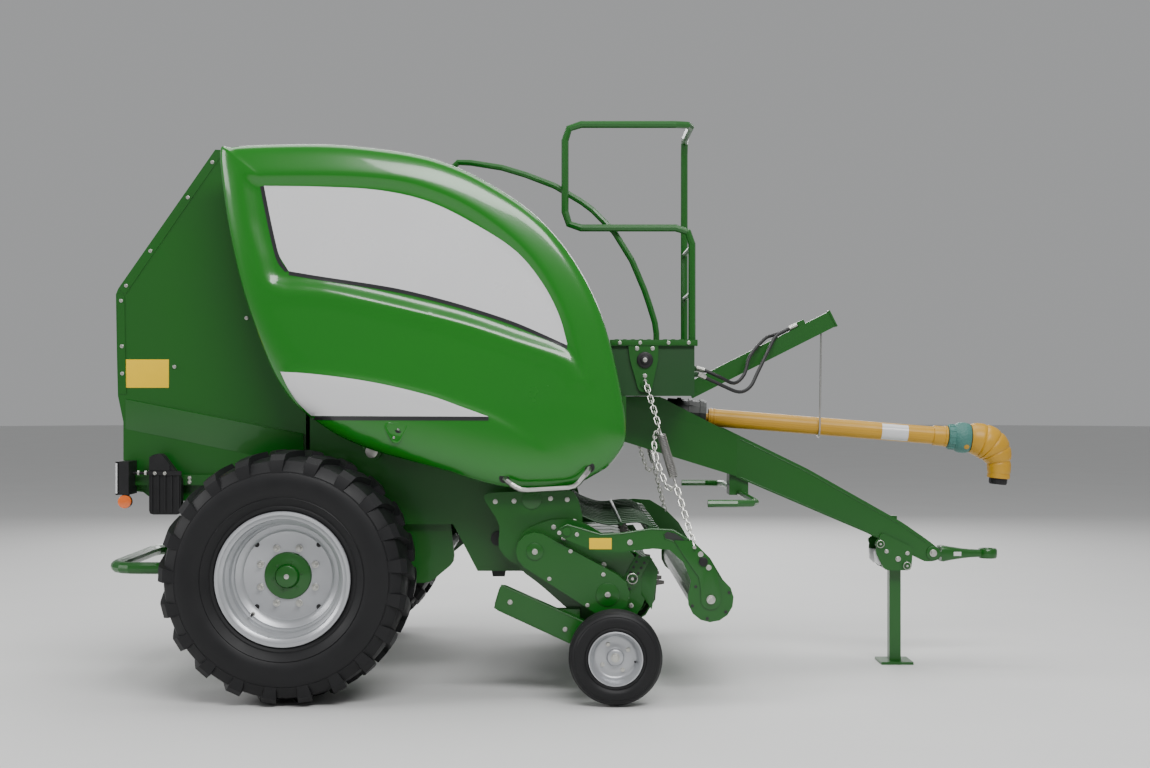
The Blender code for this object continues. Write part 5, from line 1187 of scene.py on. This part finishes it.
def make_pickup_trim(side, tag):
    """Height strip with its ring pin, front deflector, bearing and the wheel arm's edge."""
    trim = SidePiece("pickup_trim_" + tag, side, 0.8843, GREEN, ZINC, DARK)
    high, low = Vector((1.664, 0.652)), Vector((1.56, 0.472))
    way = (low - high).normalized()
    over = Vector((-way.y, way.x))
    half = over * 0.034
    trim.plate([tuple(p) for p in (high + half, high - half, low - half, low + half)], 0.006)
    # thin dark discs in two rows along the strip: painted shade standing in for its open holes
    for k in range(7):
        for hand in (-1, 1):
            spot = high.lerp(low, (k + 0.5 + 0.25 * hand) / 7.2) + over * 0.017 * hand
            trim.post(*spot, 0.0072, 0.0006, 2, 18, 0.0002, out=0.006)
    pin = (1.61, 0.552)
    trim.pin(*pin, 0.004, 0.04, 0.007, 16)
    trim.bead(circle_run(pin, 0.024, 22), 0.0026, 0.032, 1, closed=True)
    front = [(1.662, 0.655), (1.694, 0.658), (1.735, 0.592), (1.704, 0.4), (1.652, 0.478)]
    trim.slab(front, side * (trim.face_y - 0.004), side * (trim.face_y + 0.002))
    trim.bolts([(1.283, 0.742), (1.475, 0.616), (1.235, 0.795), (1.605, 0.42)], 0.0095, by_x=5)
    bearing = (1.545, 0.5)
    trim.post(*bearing, 0.045, 0.006, edge=0.002)
    trim.bolts(circle_run(bearing, 0.06, 4, 45), 0.0065)
    arm = 0.1009             # from the pickup's side plate out to the wheel arm's face
    edge = [(0.955, 0.424), (1.332, 0.249), (1.48, 0.18), (1.566, 0.203), (1.553, 0.272), (1.368, 0.361),
            (0.988, 0.53)]
    trim.bead(edge, 0.0028, arm, closed=True)
    trim.bolts([(1.03, 0.45), (1.29, 0.322), (1.43, 0.262)], 0.0095, arm, by_z=9)
    trim.done("pickup", "machine_green")


def make_drive_guard():
    """Bearing rims and screws on the guard over the pickup's drive, on the right."""
    guard = SidePiece("drive_guard_trim", -1, 0.9852, GREEN, ZINC)
    for place, radius in (((1.147, 0.688), 0.04), ((1.49, 0.485), 0.055)):
        guard.post(*place, radius, 0.006, 0, 36, 0.002)
        guard.bolts([place], 0.011, 0.006)
    guard.bolts([(1.215, 0.56), (1.315, 0.69), (1.395, 0.435), (1.47, 0.58)], 0.008, by_x=3)
    guard.done("pickup", "machine_green")


def make_tower_trim(side, tag):
    """Boss and bolts of one pickup tower."""
    trim = SidePiece("tower_trim_" + tag, side, 0.8603, GREEN, ZINC)
    trim.bolts([(0.955, 0.915), (1.045, 0.918), (1.22, 0.93), (1.3, 0.925), (1.335, 0.82)], 0.0095,
               by_x=4)
    trim.post(1.13, 0.925, 0.046, 0.005)
    trim.done("frame", "machine_green")


# ------------------------------------------------------------------ drawbar, hitch and front
def squared(value):
    """A cosine or sine drawn towards the corners, for a round-cornered section."""
    return math.copysign(abs(value) ** 0.45, value)


def make_hitch():
    """Forged towing eye: flat root in the drawbar's nose, tapered neck, round ring."""
    hitch = Piece("towing_eye", GREEN, WHITE)
    hitch.box((3.1465, -0.059, 0.5662), (3.29, 0.059, 0.5938), 0, 0.002)
    rings = []
    for x, half_z, half_y in ((3.286, 0.04, 0.056), (3.3, 0.043, 0.056), (3.34, 0.035, 0.05),
                              (3.4, 0.026, 0.041), (3.45, 0.021, 0.034), (3.505, 0.019, 0.029)):
        angles = [2 * math.pi * (k + 0.5) / 24 for k in range(24)]
        rings.append([at(x, half_y * squared(math.cos(a)), 0.58 + half_z * squared(math.sin(a)))
                      for a in angles])
    hitch.loft(rings, 0)
    half = [(0.027, 0.0255), (0.035, 0.0265), (0.044, 0.0255), (0.049, 0.018)]
    profile = [(0.0243, -0.02)] + [(r, -h) for r, h in half] + [(0.05, 0.0)]
    profile += list(reversed(half)) + [(0.0243, 0.02), (0.024, 0.0)]
    hitch.lathe(profile, at(3.544, 0, 0.58), Z, 56, 0)
    for y in (-0.0487, 0.0475):
        hitch.box((3.352, y, 0.57), (3.392, y + 0.0012, 0.592), 1, 0.0003)
    hitch.done("frame", "machine_green", ["hitch_eye"], angle=35)


def make_drawbar_trim(side, tag):
    """Hitch bolt and boss, weld beads, jack brackets with their pins, blank label."""
    trim = SidePiece("drawbar_trim_" + tag, side, 0.0902, GREEN, ZINC, WHITE)
    trim.post(3.232, 0.59, 0.036, 0.008, 0, 40, 0.002)
    trim.bolts([(3.232, 0.59)], 0.0155, 0.008)
    trim.bead([(2.215, 1.19), (2.569, 1.017), (3.062, 0.738), (3.2, 0.642)], 0.0028)
    trim.bead([(2.215, 0.99), (2.892, 0.7), (3.19, 0.548)], 0.0028)
    cheek = 0.0121           # from the drawbar's side out to the jack bracket's cheek
    trim.bolts([(3.046, 0.56)], 0.0115, cheek, by_x=3)
    trim.bolts([(2.985, 0.6), (3.095, 0.59)], 0.009, cheek, by_x=3)
    for place in ((2.95, 0.64), (3.09, 0.525)):
        trim.post(*place, 0.024, 0.012, 0, 28, 0.002, out=cheek - 0.01)
        trim.pin(*place, cheek - 0.01, cheek + 0.024, 0.006, 14)
        trim.bead(circle_run(place, 0.019, 20), 0.0022, cheek + 0.018, 1, closed=True)
    label = [(2.925, 0.6), (2.968, 0.596), (2.985, 0.54), (2.95, 0.522), (2.928, 0.545)]
    trim.slab(label, side * 0.06, side * 0.085, 2, 0.004)
    trim.done("frame", "machine_green")


def make_front_trim(side, tag):
    """Bearing and bolts on the platform bracket, platform edge strip, headstock bolts."""
    trim = SidePiece("front_trim_" + tag, side, 0.6372, GREEN, ZINC, BLACK)
    bearing = (1.684, 1.598)
    trim.post(*bearing, 0.04, 0.012, 2, 36, 0.004)
    trim.post(*bearing, 0.022, 0.008, 2, 28, 0.003, out=0.012)
    trim.bolts([bearing], 0.009, 0.02)
    trim.bolts([(1.645, 1.655), (1.722, 1.655), (1.684, 1.52)], 0.0085, by_x=1)
    trim.post(1.684, 1.48, 0.022, 0.01, 0, 26, 0.002)
    trim.block((1.52, 0.6402, 1.672), (1.938, 0.6432, 1.694), 0, 0.001)
    trim.bolts([(x, 1.683) for x in (1.56, 1.66, 1.8, 1.9)], 0.0075, 0.006, by_x=8)
    trim.bolts([(x, z) for z in (1.385, 1.255) for x in (1.485, 1.555)], 0.0115, 0.023, by_z=4)
    trim.done("frame", "machine_green")


def make_platform_top():
    """Raised tread bars on the platform."""
    tread = Piece("platform_tread", GREEN)
    for row in range(10):
        for column in range(26):
            turn = 0.8 if (row + column) % 2 else -0.8
            along = Vector((math.cos(turn), math.sin(turn), 0)) * 0.013
            across = Vector((-along.y, along.x, 0)) * 0.28
            middle = at(1.545 + 0.04 * row, -0.615 + 0.0492 * column, 1.6985)
            low = [middle + along + across, middle + along - across, middle - along - across,
                   middle - along + across]
            tread.prism([(p, p.lerp(middle, 0.25) + Z * 0.0025) for p in low], 0, 0)
    tread.done("frame", "machine_green")


def make_roof_trim():
    """Hinge bolts and bosses on the chamber's sides, and two rests on its roof."""
    roof = Piece("chamber_trim", GREEN, ZINC)
    for side, _ in SIDES:
        way = Y * side
        for x, z in ((0.205, 2.555), (0.235, 2.475), (0.15, 2.44)):
            roof.bolt(at(x, side * 0.6802, z), way, 0.0095, 1, turn=x * 9)
        roof.disc(at(0.095, side * 0.679, 2.575), way, 0.026, 0.006, 1, 32, 0.002)
        roof.disc(at(0.35, side * 0.759, 1.15), way, 0.03, 0.005, 1, 28, 0.0015)
    for y in (-0.35, 0.35):
        roof.box((0.3, y - 0.03, 2.522), (0.42, y + 0.03, 2.548), 0, 0.004)
    roof.done("frame", "machine_green")


ON_BOTH_SIDES = (
    cover_panel, cover_decals, cover_latch, make_tyre, make_rim, make_hub, make_gauge_wheel,
    make_tailgate_trim, make_lamps, make_chains, make_guard_trim, make_pickup_trim, make_tower_trim,
    make_drawbar_trim, make_front_trim,
)
IN_THE_MIDDLE = (
    make_hoses, paint_nodes, make_tailgate_back, make_guard_comb, make_drive_guard, make_hitch,
    make_sleeve, make_collar, make_end_guard, make_platform_top, make_roof_trim,
)


def main():
    """Camera, light, and every piece around the frame."""
    make_camera()
    make_studio()
    for side, tag in SIDES:
        for make in ON_BOTH_SIDES:
            make(side, tag)
    for make in IN_THE_MIDDLE:
        make()


main()
